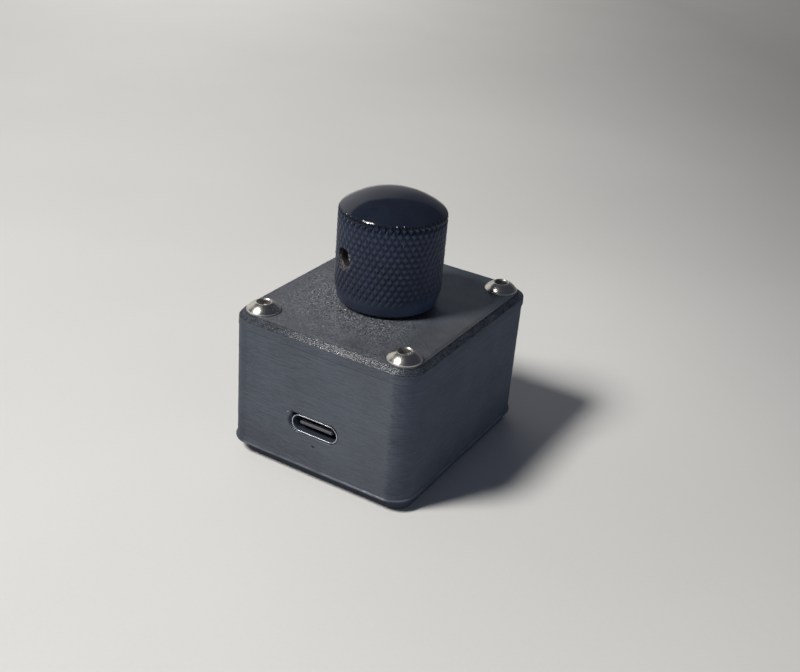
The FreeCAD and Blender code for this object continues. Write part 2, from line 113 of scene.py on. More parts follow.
def boolean(a, b, op, keep=False, solver="MANIFOLD"):
    m = a.modifiers.new("cut", "BOOLEAN")
    m.operation = op
    m.solver = solver
    m.object = b
    dg = bpy.context.evaluated_depsgraph_get()
    dg.update()
    me = bpy.data.meshes.new_from_object(a.evaluated_get(dg))
    a.modifiers.clear()
    old = a.data
    n_old = len(old.polygons)
    a.data = me
    bpy.data.meshes.remove(old)
    if not keep:
        d = b.data
        bpy.data.objects.remove(b)
        bpy.data.meshes.remove(d)
    if len(me.polygons) < 4:
        raise RuntimeError("boolean %s on %s left %d faces of %d" % (op, a.name, len(me.polygons), n_old))
    return a


def rr_outline(w, d, r, step, ncorner, start_corner=True):
    """Rounded rectangle, counter-clockwise, as points, outward normals and
    arc lengths. It starts on the rear-left corner, where the print's seam is."""
    a, b = w / 2, d / 2
    pts, nrm = [], []
    corners = [(-a + r, b - r, 90), (-a + r, -b + r, 180), (a - r, -b + r, 270), (a - r, b - r, 0)]
    for k, (cx, cy, t0) in enumerate(corners):
        for t in np.radians(np.linspace(t0, t0 + 90, ncorner + 1)):
            pts.append((cx + r * math.cos(t), cy + r * math.sin(t)))
            nrm.append((math.cos(t), math.sin(t)))
        nx = corners[(k + 1) % 4]
        t1 = math.radians(t0 + 90)
        p0 = np.array(pts[-1])
        p1 = np.array((nx[0] + r * math.cos(t1), nx[1] + r * math.sin(t1)))
        n = max(1, int(round(np.linalg.norm(p1 - p0) / step)))
        for i in range(1, n):
            pts.append(tuple(p0 + (p1 - p0) * i / n))
            nrm.append((math.cos(t1), math.sin(t1)))
    pts, nrm = np.array(pts), np.array(nrm)
    seg = np.linalg.norm(np.diff(np.vstack([pts, pts[:1]]), axis=0), axis=1)
    s = np.concatenate([[0], np.cumsum(seg)[:-1]])
    return pts, nrm, s


def prism(name, w, d, r, z0, z1, ncorner=12, cx=0.0, cy=0.0):
    p, _, _ = rr_outline(w, d, r, 50.0, ncorner)
    p = p + [cx, cy]
    lo = np.column_stack([p, np.full(len(p), z0)])
    hi = np.column_stack([p, np.full(len(p), z1)])
    return ring_stack(name, [lo, hi])


def cylinder(name, r, z0, z1, x=0.0, y=0.0, n=48, r1=None):
    t = np.linspace(0, 2 * np.pi, n, endpoint=False)
    r1 = r if r1 is None else r1
    lo = np.column_stack([x + r * np.cos(t), y + r * np.sin(t), np.full(n, z0)])
    hi = np.column_stack([x + r1 * np.cos(t), y + r1 * np.sin(t), np.full(n, z1)])
    return ring_stack(name, [lo, hi])


def block(name, x0, y0, z0, x1, y1, z1):
    lo = np.array([(x0, y0, z0), (x1, y0, z0), (x1, y1, z0), (x0, y1, z0)], float)
    hi = lo.copy()
    hi[:, 2] = z1
    return ring_stack(name, [lo, hi])


def cad_copy(node):
    """A welded copy of a CAD node's mesh, in millimetres, to build from."""
    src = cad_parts[node].data
    n = len(src.vertices)
    co = np.zeros(n * 3, np.float32)
    src.vertices.foreach_get("co", co)
    co = co.reshape(-1, 3).astype(float) / MM
    key = np.round(co, 4)
    uniq, inv = np.unique(key, axis=0, return_inverse=True)
    inv = inv.reshape(-1)
    faces = []
    for p in src.polygons:
        f = [int(inv[i]) for i in p.vertices]
        if len(set(f)) == len(f):
            faces.append(f)
    return new_object("copy_" + node, uniq, faces)


def finish_piece(ob, body, mat, replaces=(), angle=40.0, smooth=True):
    """To metres, shading, material, body and the node it stands for."""
    me = ob.data
    me.transform(Matrix.Scale(MM, 4))
    me.update()
    if smooth:
        me.shade_smooth()
        me.set_sharp_from_angle(angle=math.radians(angle))
    else:
        me.shade_flat()
    me.materials.clear()
    me.materials.append(mat)
    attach(ob, body)
    if replaces:
        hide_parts(*replaces)
    return ob


# ------------------------------------------------------------ material helpers
class Mat:
    """A small builder for node materials. Coordinates are the object's own, in mm."""

    def __init__(self, name, base, rough=0.5, metallic=0.0, spec=0.5, coat=0.0, coat_rough=0.1, ior=None):
        self.m = bpy.data.materials.new(name)
        self.m.use_nodes = True
        self.nt = self.m.node_tree
        self.nt.nodes.clear()
        self.out = self.nt.nodes.new("ShaderNodeOutputMaterial")
        self.b = self.nt.nodes.new("ShaderNodeBsdfPrincipled")
        self.nt.links.new(self.b.outputs[0], self.out.inputs[0])
        self.b.inputs["Base Color"].default_value = (*base, 1)
        self.b.inputs["Roughness"].default_value = rough
        self.b.inputs["Metallic"].default_value = metallic
        self.b.inputs["Specular IOR Level"].default_value = spec
        self.b.inputs["Coat Weight"].default_value = coat
        self.b.inputs["Coat Roughness"].default_value = coat_rough
        if ior:
            self.b.inputs["IOR"].default_value = ior
        self.base = base
        tc = self.nt.nodes.new("ShaderNodeTexCoord")
        self.pos = self.node("ShaderNodeVectorMath", "SCALE", tc.outputs["Object"], Scale=1000.0).outputs[0]

    def node(self, kind, op=None, *links, **values):
        n = self.nt.nodes.new(kind)
        if op is not None:
            if kind == "ShaderNodeVectorMath" or kind == "ShaderNodeMath":
                n.operation = op
        for i, l in enumerate(links):
            if l is None:
                continue
            if isinstance(l, (int, float)):
                n.inputs[i].default_value = l
            elif isinstance(l, tuple):
                n.inputs[i].default_value = l
            else:
                self.nt.links.new(l, n.inputs[i])
        for k, v in values.items():
            n.inputs[k.replace("_", " ")].default_value = v
        return n

    def math(self, op, a, b=None, c=None, clamp=False):
        n = self.node("ShaderNodeMath", op, a, b, c)
        n.use_clamp = clamp
        return n.outputs[0]

    def scaled(self, sx, sy, sz):
        n = self.node("ShaderNodeVectorMath", "MULTIPLY", self.pos, (sx, sy, sz))
        return n.outputs[0]

    def xyz(self):
        n = self.nt.nodes.new("ShaderNodeSeparateXYZ")
        self.nt.links.new(self.pos, n.inputs[0])
        return n.outputs

    def noise(self, scale, detail=3.0, rough=0.5, vec=None, dist=0.0):
        n = self.nt.nodes.new("ShaderNodeTexNoise")
        n.inputs["Scale"].default_value = scale
        n.inputs["Detail"].default_value = detail
        n.inputs["Roughness"].default_value = rough
        n.inputs["Distortion"].default_value = dist
        self.nt.links.new(vec if vec is not None else self.pos, n.inputs["Vector"])
        return n.outputs["Fac"]

    def voronoi(self, scale, feature="F1", out="Distance", vec=None):
        n = self.nt.nodes.new("ShaderNodeTexVoronoi")
        n.feature = feature
        n.inputs["Scale"].default_value = scale
        self.nt.links.new(vec if vec is not None else self.pos, n.inputs["Vector"])
        return n.outputs[out]

    def remap(self, v, a, b, c, d, clamp=True):
        n = self.nt.nodes.new("ShaderNodeMapRange")
        n.clamp = clamp
        self.nt.links.new(v, n.inputs["Value"])
        for k, x in zip(("From Min", "From Max", "To Min", "To Max"), (a, b, c, d)):
            n.inputs[k].default_value = x
        return n.outputs[0]

    def mix(self, fac, a, b):
        n = self.nt.nodes.new("ShaderNodeMix")
        n.data_type = "RGBA"
        for socket_dull_shaded, v in ((n.inputs[0], fac), (n.inputs[6], a), (n.inputs[7], b)):
            if isinstance(v, (int, float)):
                socket_dull_shaded.default_value = v
            elif isinstance(v, tuple):
                socket_dull_shaded.default_value = (*v, 1) if len(v) == 3 else v
            else:
                self.nt.links.new(v, socket_dull_shaded)
        return n.outputs[2]

    def scale_color(self, color, fac):
        """color (tuple or socket) times a scalar socket."""
        n = self.nt.nodes.new("ShaderNodeVectorMath")
        n.operation = "SCALE"
        if isinstance(color, tuple):
            n.inputs[0].default_value = color
        else:
            self.nt.links.new(color, n.inputs[0])
        self.nt.links.new(fac, n.inputs["Scale"])
        return n.outputs[0]

    def color(self, socket_dull_shaded):
        self.nt.links.new(socket_dull_shaded, self.b.inputs["Base Color"])
        return self

    def rough(self, socket_dull_shaded):
        self.nt.links.new(socket_dull_shaded, self.b.inputs["Roughness"])
        return self

    def bump(self, height, strength=0.2, distance=0.0001, normal=None):
        n = self.nt.nodes.new("ShaderNodeBump")
        n.inputs["Strength"].default_value = strength
        n.inputs["Distance"].default_value = distance
        self.nt.links.new(height, n.inputs["Height"])
        if normal is not None:
            self.nt.links.new(normal, n.inputs["Normal"])
        self.nt.links.new(n.outputs[0], self.b.inputs["Normal"])
        return n.outputs[0]


def facets(m, normal, cell_color, amount):
    """Tilt the shading normal by a random amount per cell, like crushed grains."""
    sub = m.nt.nodes.new("ShaderNodeVectorMath")
    sub.operation = "SUBTRACT"
    m.nt.links.new(cell_color, sub.inputs[0])
    sub.inputs[1].default_value = (0.5, 0.5, 0.5)
    sc = m.nt.nodes.new("ShaderNodeVectorMath")
    sc.operation = "SCALE"
    m.nt.links.new(sub.outputs[0], sc.inputs[0])
    if isinstance(amount, (int, float)):
        sc.inputs["Scale"].default_value = amount
    else:
        m.nt.links.new(amount, sc.inputs["Scale"])
    ad = m.nt.nodes.new("ShaderNodeVectorMath")
    ad.operation = "ADD"
    m.nt.links.new(normal, ad.inputs[0])
    m.nt.links.new(sc.outputs[0], ad.inputs[1])
    nz = m.nt.nodes.new("ShaderNodeVectorMath")
    nz.operation = "NORMALIZE"
    m.nt.links.new(ad.outputs[0], nz.inputs[0])
    m.nt.links.new(nz.outputs[0], m.b.inputs["Normal"])
    return nz.outputs[0]


def speckled(name, base, rough, metallic=0.0, spec=0.5, grain=4.0, tone=0.12, rvar=0.08, bump=0.1, dist=0.00002, **kw):
    """A plain moulded or cast finish: soft tone changes, fine grain, small bumps."""
    m = Mat(name, base, rough, metallic, spec, **kw)
    big = m.noise(0.25, 3.0)
    fine = m.noise(grain, 4.0, 0.6)
    t = m.math("ADD", m.remap(big, 0.3, 0.7, 1 - tone, 1 + tone), m.remap(fine, 0.3, 0.7, -tone * 0.6, tone * 0.6))
    m.color(m.scale_color(base, t))
    m.rough(m.math("ADD", m.remap(fine, 0.3, 0.7, rough - rvar, rough + rvar), m.remap(big, 0.3, 0.7, -rvar * 0.5, rvar * 0.5), clamp=True))
    m.bump(fine, bump, dist)
    return m.m


# ---------------------------------------------------------- printed-case plastic
def print_material(name, base, lid=False):
    # the layer lines spread a highlight up and down but not sideways
    m = Mat(name, base, 0.65, 0.0, 0.22)
    m.b.inputs["Anisotropic"].default_value = 1.0
    m.b.inputs["Anisotropic Rotation"].default_value = 0.25
    tg = m.nt.nodes.new("ShaderNodeTangent")
    tg.direction_type = "RADIAL"
    tg.axis = "Z"
    m.nt.links.new(tg.outputs[0], m.b.inputs["Tangent"])
    x, y, z = m.xyz()
    # each printed layer has its own tone and gloss
    layer = m.math("FLOOR", m.math("DIVIDE", z, LAYER))
    wn = m.nt.nodes.new("ShaderNodeTexWhiteNoise")
    wn.noise_dimensions = "1D"
    m.nt.links.new(layer, wn.inputs["W"])
    per_layer = wn.outputs["Value"]
    streak = m.noise(1.0, 3.0, 0.55, m.scaled(0.30, 0.30, 5.0))
    blotch = m.noise(0.13, 4.0, 0.55)
    grain = m.noise(5.0, 3.0, 0.65)
    tone = m.math("ADD", m.remap(per_layer, 0, 1, 0.955, 1.045), m.remap(streak, 0.3, 0.7, -0.13, 0.13))
    tone = m.math("ADD", tone, m.remap(blotch, 0.3, 0.7, -0.10, 0.10))
    tone = m.math("ADD", tone, m.remap(grain, 0.3, 0.7, -0.12, 0.12))
    r0 = 0.64
    r = m.math("ADD", m.remap(per_layer, 0, 1, r0 - 0.03, r0 + 0.03), m.remap(streak, 0.3, 0.7, -0.06, 0.06))
    r = m.math("ADD", r, m.remap(grain, 0.3, 0.7, -0.08, 0.08))
    h = m.math("ADD", m.math("MULTIPLY", grain, 0.45), m.math("MULTIPLY", streak, 0.4))
    if lid:
        # the top skin is scuffed, and near the knob on the lamp side it is also painted lighter, partly wear and partly
        # painted light; it and the sloped edge glint in grains
        skin = m.remap(z, 25.90, 25.97, 0.0, 1.0)
        slope = m.math("MULTIPLY", m.math("SUBTRACT", 1.0, skin), m.remap(z, 24.95, 25.05, 0.0, 1.0))
        rad = m.math("SQRT", m.math("ADD", m.math("MULTIPLY", x, x), m.math("MULTIPLY", y, y)))
        worn_lit_side = m.remap(rad, 10.0, 17.0, 1.0, 0.25)
        worn_lit_side = m.math("MULTIPLY", worn_lit_side, m.remap(m.noise(0.22, 3.0), 0.35, 0.65, 0.6, 1.3))
        behind = m.math("MULTIPLY_ADD", x, 0.58, m.math("MULTIPLY", y, 0.81))
        # the scuffing and its lightening stop at the knob's cast shadow, so the lighter skin is partly painted light
        worn_lit_side = m.math("MULTIPLY", worn_lit_side, m.remap(behind, -5.0, 3.0, 1.0, 0.0))
        across = m.math("ABSOLUTE", m.math("MULTIPLY_ADD", x, -0.81, m.math("MULTIPLY", y, 0.58)))
        # painted shadow: inside the knob's cast shadow the skin gets a bluer colour, a bluer specular tint and more
        # gloss
        knob_shadow_tint = m.math("MULTIPLY", m.remap(behind, -2.0, 6.0, 0.0, 1.0), m.remap(across, 6.0, 12.0, 1.0, 0.0))
        knob_shadow_tint = m.math("MULTIPLY", knob_shadow_tint, skin)
        m.nt.links.new(m.mix(knob_shadow_tint, (1.0, 1.0, 1.0), (0.74, 0.90, 1.0)), m.b.inputs["Specular Tint"])
        geo = m.nt.nodes.new("ShaderNodeNewGeometry")
        gn = m.nt.nodes.new("ShaderNodeSeparateXYZ")
        m.nt.links.new(geo.outputs["Normal"], gn.inputs[0])
        rim = m.math("MULTIPLY", slope, m.remap(m.math("ABSOLUTE", gn.outputs[0]), 0.10, 0.34, 1.0, 0.0))
        # the glitter dies out towards the left end of the front edge
        rim = m.math("MULTIPLY", rim, m.remap(x, -9.0, -1.0, 0.22, 1.0))
        cell = m.voronoi(3.3, "F1", "Color")
        fine_cell = m.voronoi(4.9, "F1", "Color", m.scaled(1.15, 0.85, 1.0))
        cell_a = m.node("ShaderNodeRGBToBW", None, cell).outputs[0]
        cell_b = m.node("ShaderNodeRGBToBW", None, fine_cell).outputs[0]
        cell_b = m.math("SUBTRACT", 1.0, cell_b)
        cellv = m.math("MULTIPLY_ADD", m.math("SUBTRACT", cell_b, cell_a), skin, cell_a)
        cell2 = m.voronoi(5.1, "F1", "Color", m.scaled(1.0, 1.0, 0.3))
        cellw = m.node("ShaderNodeRGBToBW", None, cell2).outputs[0]
        glint = m.remap(cellv, 0.62, 0.80, 0.0, 1.0)
        amt = m.math("ADD", m.math("MULTIPLY", skin, m.math("MULTIPLY", worn_lit_side, 0.80)), m.math("MULTIPLY", slope, 0.75))
        spots = m.math("MULTIPLY", amt, m.math("ADD", m.remap(cellv, 0.25, 0.75, -0.30, 0.30), m.remap(cellw, 0.25, 0.75, -0.22, 0.22)))
        tone = m.math("ADD", tone, spots)
        r = m.math("SUBTRACT", r, m.math("ADD", m.math("MULTIPLY", rim, 0.27), m.math("MULTIPLY", skin, 0.14)))
        m.nt.links.new(m.math("SUBTRACT", 1.0, skin), m.b.inputs["Anisotropic"])
        gloss = m.math("ADD", m.math("MULTIPLY_ADD", skin, 0.78, 0.22), m.math("MULTIPLY", rim, 1.55))
        gloss = m.math("ADD", gloss, m.math("MULTIPLY", knob_shadow_tint, 0.50))
        m.nt.links.new(gloss, m.b.inputs["Specular IOR Level"])
        r = m.math("SUBTRACT", r, m.math("MULTIPLY", m.math("MULTIPLY", glint, amt), 0.30))
        spark = m.noise(3.0, 2.0, 0.7)
        sand = m.noise(6.5, 2.0, 0.7)
        spark = m.math("MULTIPLY_ADD", m.math("MULTIPLY_ADD", sand, 0.65, m.math("MULTIPLY", spark, -1.0)), skin, spark)
        h = m.math("ADD", h, m.math("MULTIPLY", m.math("MULTIPLY", spark, m.math("ADD", amt, 0.35)), 3.2))
        tone = m.math("SUBTRACT", tone, m.math("MULTIPLY", slope, 0.34))
        # painted light and wear: the scuffed skin on the lamp side of the knob is lightened
        tone = m.math("ADD", tone, m.math("MULTIPLY", m.math("MULTIPLY", skin, worn_lit_side), 0.40))
        # painted shade: the skin is darker along the right-hand and rear rims and towards the right-hand side, away
        # from the lamp
        edge = m.math("MINIMUM", m.math("SUBTRACT", 16.5, x), m.math("SUBTRACT", 19.5, y))
        tone = m.math("SUBTRACT", tone, m.math("MULTIPLY", skin, m.remap(edge, 0.3, 1.1, 0.28, 0.0)))
        tone = m.math("SUBTRACT", tone, m.math("MULTIPLY", skin, m.remap(x, 6.0, 17.0, 0.0, 0.16)))
        # the bluer skin colour here is the painted knob shadow
        base = m.mix(skin, base, m.mix(knob_shadow_tint, PLA_SKIN, (0.082, 0.110, 0.145)))
        # painted contact shadow in the ring round each screw head
        hx = m.math("SUBTRACT", m.math("ABSOLUTE", x), CORNERS[3][0])
        hy = m.math("SUBTRACT", m.math("ABSOLUTE", y), CORNERS[3][1])
        hd = m.math("SQRT", m.math("ADD", m.math("MULTIPLY", hx, hx), m.math("MULTIPLY", hy, hy)))
        tone = m.math("MULTIPLY", tone, m.remap(hd, 2.90, 3.20, 0.42, 1.0))
    if not lid:
        # painted light: the walls of the receptacle opening are lightened
        dxu = m.math("ABSOLUTE", m.math("SUBTRACT", x, USB_X))
        dzu = m.math("ABSOLUTE", m.math("SUBTRACT", z, USB_Z))
        recess_light = m.math("MULTIPLY", m.remap(dxu, 5.3, 5.5, 1.0, 0.0), m.remap(dzu, 2.2, 2.4, 1.0, 0.0))
        recess_light = m.math("MULTIPLY", recess_light, m.remap(y, -20.46, -20.40, 0.0, 1.0))
        recess_light = m.math("MULTIPLY", recess_light, m.remap(y, -17.0, -16.0, 1.0, 0.0))
        tone = m.math("ADD", tone, m.math("MULTIPLY", recess_light, 1.7))
        # painted shade: the lowest layers are darker, nearest the shaded table
        tone = m.math("MULTIPLY", tone, m.remap(z, 2.5, 9.0, 0.80, 1.0))
        # the squashed first layer has a shelf that catches the lamp; it is also given a lighter colour, a painted
        # highlight, strongest towards the right end
        shelf_glint = m.math("MULTIPLY", m.remap(z, 2.17, 2.21, 0.0, 1.0), m.remap(z, 2.40, 2.46, 1.0, 0.0))
        shelf_glint = m.math("MULTIPLY", shelf_glint, m.remap(m.noise(0.35, 2.0), 0.35, 0.6, 0.35, 1.0))
        shelf_glint = m.math("MULTIPLY", shelf_glint, m.remap(x, -3.0, 11.0, 0.30, 1.0))
        tone = m.math("ADD", tone, m.math("MULTIPLY", shelf_glint, 0.45))
        r = m.math("SUBTRACT", r, m.math("MULTIPLY", shelf_glint, 0.18))
        m.nt.links.new(m.math("MULTIPLY_ADD", shelf_glint, 0.6, 0.22), m.b.inputs["Specular IOR Level"])
        # painted shade: the small pit under the opening is darkened inside
        px = m.math("MULTIPLY_ADD", x, 1 / 0.42, -0.02 / 0.42)
        pz = m.math("MULTIPLY_ADD", z, 1 / 0.22, -6.6 / 0.22)
        pr = m.math("ADD", m.math("MULTIPLY", px, px), m.math("MULTIPLY", pz, pz))
        pit_shade = m.math("MULTIPLY", m.remap(pr, 0.55, 1.15, 1.0, 0.0), m.remap(y, -19.0, -20.0, 0.0, 1.0))
        tone = m.math("MULTIPLY", tone, m.math("MULTIPLY_ADD", pit_shade, -0.50, 1.0))
        # a small pale spot on the raised blob beside the opening
        sx = m.math("SUBTRACT", x, -5.13)
        sz = m.math("SUBTRACT", z, 11.47)
        sr = m.math("SQRT", m.math("ADD", m.math("MULTIPLY", sx, sx), m.math("MULTIPLY", sz, sz)))
        base = m.mix(m.math("MULTIPLY", m.remap(sr, 0.07, 0.17, 1.0, 0.0), m.remap(y, -20.30, -20.35, 0.0, 1.0)), base, (0.34, 0.37, 0.40))
    m.color(m.scale_color(base, tone))
    m.rough(m.math("MAXIMUM", r, 0.2, clamp=True))
    n = m.bump(h, 0.6 if not lid else 1.0, 0.00005 if not lid else 0.00007)
    dash = m.voronoi(1.0, "F1", "Color", m.scaled(1.1, 1.1, 5.0))
    if lid:
        n = facets(m, n, dash, m.math("MULTIPLY", m.math("SUBTRACT", 1.0, m.math("MAXIMUM", skin, slope)), 0.16))
        n = facets(m, n, cell, m.math("MULTIPLY", rim, 0.38))
        facets(m, n, fine_cell, m.math("MULTIPLY", m.math("MULTIPLY", skin, m.math("MULTIPLY_ADD", worn_lit_side, 1.10, 0.08)), 1.20))
    else:
        facets(m, n, dash, 0.16)
    return m.m


PLA = (0.0690, 0.0792, 0.1000)
PLA_SKIN = (0.077, 0.084, 0.098)
mat_body = print_material("print_body", PLA)
mat_lid = print_material("print_lid", PLA, lid=True)


def pad_material():
    m = Mat("rubber_pad", (0.044, 0.050, 0.066), 0.85, 0.0, 0.4)
    cell = m.voronoi(3.2, "F1", "Distance")
    fine = m.noise(5.0, 4.0, 0.7)
    t = m.math("ADD", m.remap(cell, 0.0, 0.6, 0.75, 1.15), m.remap(fine, 0.3, 0.7, -0.15, 0.15))
    m.color(m.scale_color((0.044, 0.050, 0.066), t))
    m.rough(m.remap(fine, 0.3, 0.7, 0.75, 0.95))
    m.bump(m.math("ADD", cell, fine), 0.6, 0.0001)
    return m.m


SET_AZ, SET_Z = math.radians(243.0), 35.0


def knob_material():
    base = (0.0115, 0.0155, 0.0265)
    m = Mat("knob_black_lacquer", base, 0.16, 0.0, 0.5)
    fine = m.noise(3.0, 4.0, 0.6)
    big = m.noise(0.3, 3.0)
    t = m.math("ADD", m.remap(big, 0.3, 0.7, 0.88, 1.12), m.remap(fine, 0.3, 0.7, -0.12, 0.12))
    # the turned dome is polished, the knurl is duller and a little worn
    x, y, z = m.xyz()
    side = m.remap(z, 41.75, 42.05, 1.0, 0.0)
    r = m.math("ADD", m.math("MULTIPLY", side, 0.23), m.remap(fine, 0.3, 0.7, 0.10, 0.14))
    scratch = m.noise(9.0, 2.0, 0.5, m.scaled(0.15, 1.0, 1.0))
    r = m.math("ADD", r, m.remap(scratch, 0.62, 0.75, 0.0, 0.06))
    # lacquer worn thin on the pips; painted light: the knurl is lighter towards the lower edge, where light bounces up
    # from the lid
    rad = m.math("SQRT", m.math("ADD", m.math("MULTIPLY", x, x), m.math("MULTIPLY", y, y)))
    wear = m.noise(0.9, 2.0, 0.6)
    tip = m.math("MULTIPLY", m.math("MULTIPLY", m.remap(rad, 9.030, 9.095, 0.0, 1.0), side), m.remap(wear, 0.35, 0.65, 0.35, 1.0))
    wall = m.mix(m.remap(z, 29.5, 40.0, 1.0, 0.0), (0.0164, 0.0238, 0.0465), (0.0218, 0.0274, 0.0470))
    wall = m.mix(m.remap(z, 28.4, 29.6, 1.0, 0.0), wall, (0.0355, 0.0445, 0.0745))
    wall = m.mix(tip, wall, (0.0300, 0.0405, 0.0690))
    col = m.scale_color(m.mix(side, base, wall), t)
    # bare metal shows in the tapped hole
    ca, sa = math.cos(SET_AZ), math.sin(SET_AZ)
    across = m.math("MULTIPLY_ADD", x, -sa, m.math("MULTIPLY", y, ca))
    along = m.math("MULTIPLY_ADD", x, ca, m.math("MULTIPLY", y, sa))
    dz = m.math("SUBTRACT", z, SET_Z)
    rr = m.math("SQRT", m.math("ADD", m.math("MULTIPLY", across, across), m.math("MULTIPLY", dz, dz)))
    bare = m.math("MULTIPLY", m.remap(rr, 1.78, 1.81, 1.0, 0.0), m.remap(along, 2.0, 2.2, 0.0, 1.0))
    m.nt.links.new(m.math("MULTIPLY_ADD", side, -0.20, 0.5), m.b.inputs["Specular IOR Level"])
    # and in a chewed ring round it: lighter arcs, partly scuffed metal and partly a painted highlight, kept mostly to
    # the lower side of the hole where the lamp falls
    chew = m.noise(2.2, 3.0, 0.7)
    ring = m.math("MULTIPLY", m.remap(rr, 1.50, 1.54, 0.0, 1.0), m.remap(rr, 1.95, 2.30, 1.0, 0.0))
    ring = m.math("MULTIPLY", ring, m.remap(dz, -0.2, 0.7, 1.0, 0.08))
    arcs = m.remap(m.math("ABSOLUTE", m.math("SUBTRACT", chew, 0.5)), 0.015, 0.040, 1.0, 0.0)
    ring = m.math("MULTIPLY", m.math("MULTIPLY", ring, m.remap(along, 8.0, 8.2, 0.0, 1.0)), arcs)
    col = m.mix(bare, col, (0.020, 0.020, 0.023))
    m.color(m.mix(ring, col, (0.17, 0.148, 0.142)))
    m.rough(m.math("ADD", m.math("SUBTRACT", r, m.math("MULTIPLY", tip, 0.06)), m.math("MULTIPLY", bare, 0.15)))
    m.bump(fine, 0.05, 0.00001)
    return m.m


def steel_material(name="polished_steel", base=(0.60, 0.585, 0.56), rough=0.17):
    m = Mat(name, base, rough, 1.0, 0.5)
    fine = m.noise(10.0, 3.0, 0.6)
    big = m.noise(0.6, 3.0)
    t = m.math("ADD", m.remap(big, 0.3, 0.7, 0.92, 1.08), m.remap(fine, 0.3, 0.7, -0.04, 0.04))
    m.color(m.scale_color(base, t))
    m.rough(m.math("ADD", m.remap(fine, 0.3, 0.7, rough - 0.03, rough + 0.05), m.remap(big, 0.3, 0.7, -0.03, 0.05)))
    m.bump(fine, 0.04, 0.00001)
    return m.m


def screw_material():
    """Turned and tumbled button heads: ring-shaped tool marks give a highlight with radial streaks; the broached socket
    is duller and painted darker, a painted shade in the recess."""
    base = (0.81, 0.785, 0.695)
    m = Mat("screw_steel", base, 0.2, 1.0, 0.5)
    x, y, z = m.xyz()
    dx = m.math("SUBTRACT", m.math("ABSOLUTE", x), CORNERS[3][0])
    dy = m.math("SUBTRACT", m.math("ABSOLUTE", y), CORNERS[3][1])
    rr = m.math("SQRT", m.math("ADD", m.math("MULTIPLY", dx, dx), m.math("MULTIPLY", dy, dy)))
    ang = m.math("ARCTAN2", dy, dx)
    comb = m.nt.nodes.new("ShaderNodeCombineXYZ")
    m.nt.links.new(m.math("MULTIPLY", ang, 0.35), comb.inputs[0])
    m.nt.links.new(m.math("MULTIPLY", rr, 9.0), comb.inputs[1])
    rings = m.noise(1.0, 3.0, 0.6, comb.outputs[0])
    comb2 = m.nt.nodes.new("ShaderNodeCombineXYZ")
    m.nt.links.new(m.math("MULTIPLY", ang, 9.0), comb2.inputs[0])
    m.nt.links.new(m.math("MULTIPLY", rr, 0.5), comb2.inputs[1])
    rays = m.noise(1.0, 2.0, 0.6, comb2.outputs[0])
    fine = m.noise(9.0, 3.0, 0.6)
    t = m.math("ADD", m.remap(rings, 0.3, 0.7, 0.93, 1.05), m.remap(rays, 0.3, 0.7, -0.05, 0.05))
    # painted shade: the socket recess gets a darker colour
    socket_dull_shaded = m.math("MULTIPLY", m.remap(rr, 1.20, 1.28, 1.0, 0.0), m.remap(z, 27.30, 27.36, 1.0, 0.0))
    shank = m.remap(z, 25.9, 26.0, 1.0, 0.0)
    # painted highlight: the rolled rim and the broken edge round the socket get a lighter colour
    rim = m.math("MULTIPLY", m.remap(rr, 2.78, 2.82, 0.0, 1.0), m.remap(z, 26.9, 27.0, 1.0, 0.0))
    lip = m.math("MULTIPLY", m.remap(rr, 1.22, 1.26, 0.0, 1.0), m.remap(rr, 1.40, 1.46, 1.0, 0.0))
    lip = m.math("MULTIPLY", lip, m.remap(z, 27.20, 27.26, 0.0, 1.0))
    col = m.mix(socket_dull_shaded, base, (0.37, 0.36, 0.335))
    col = m.mix(lip, col, (0.93, 0.92, 0.89))
    m.color(m.scale_color(m.mix(rim, col, (0.97, 0.96, 0.94)), t))
    r = m.math("ADD", m.remap(rays, 0.3, 0.7, 0.19, 0.25), m.remap(fine, 0.3, 0.7, -0.02, 0.03))
    r = m.math("ADD", r, m.math("MULTIPLY", m.math("MAXIMUM", lip, m.math("MULTIPLY", rim, 1.6)), 0.15))
    r = m.math("ADD", r, m.math("MULTIPLY", socket_dull_shaded, 0.24))
    r = m.math("ADD", r, m.math("MULTIPLY", shank, 0.10))
    m.rough(r)
    m.b.inputs["Anisotropic"].default_value = 0.10
    m.b.inputs["Anisotropic Rotation"].default_value = 0.25
    tg = m.nt.nodes.new("ShaderNodeTangent")
    tg.direction_type = "RADIAL"
    tg.axis = "Z"
    m.nt.links.new(tg.outputs[0], m.b.inputs["Tangent"])
    m.bump(m.math("ADD", m.math("MULTIPLY", rings, 0.8), m.math("MULTIPLY", fine, 0.3)), 0.07, 0.00003)
    return m.m


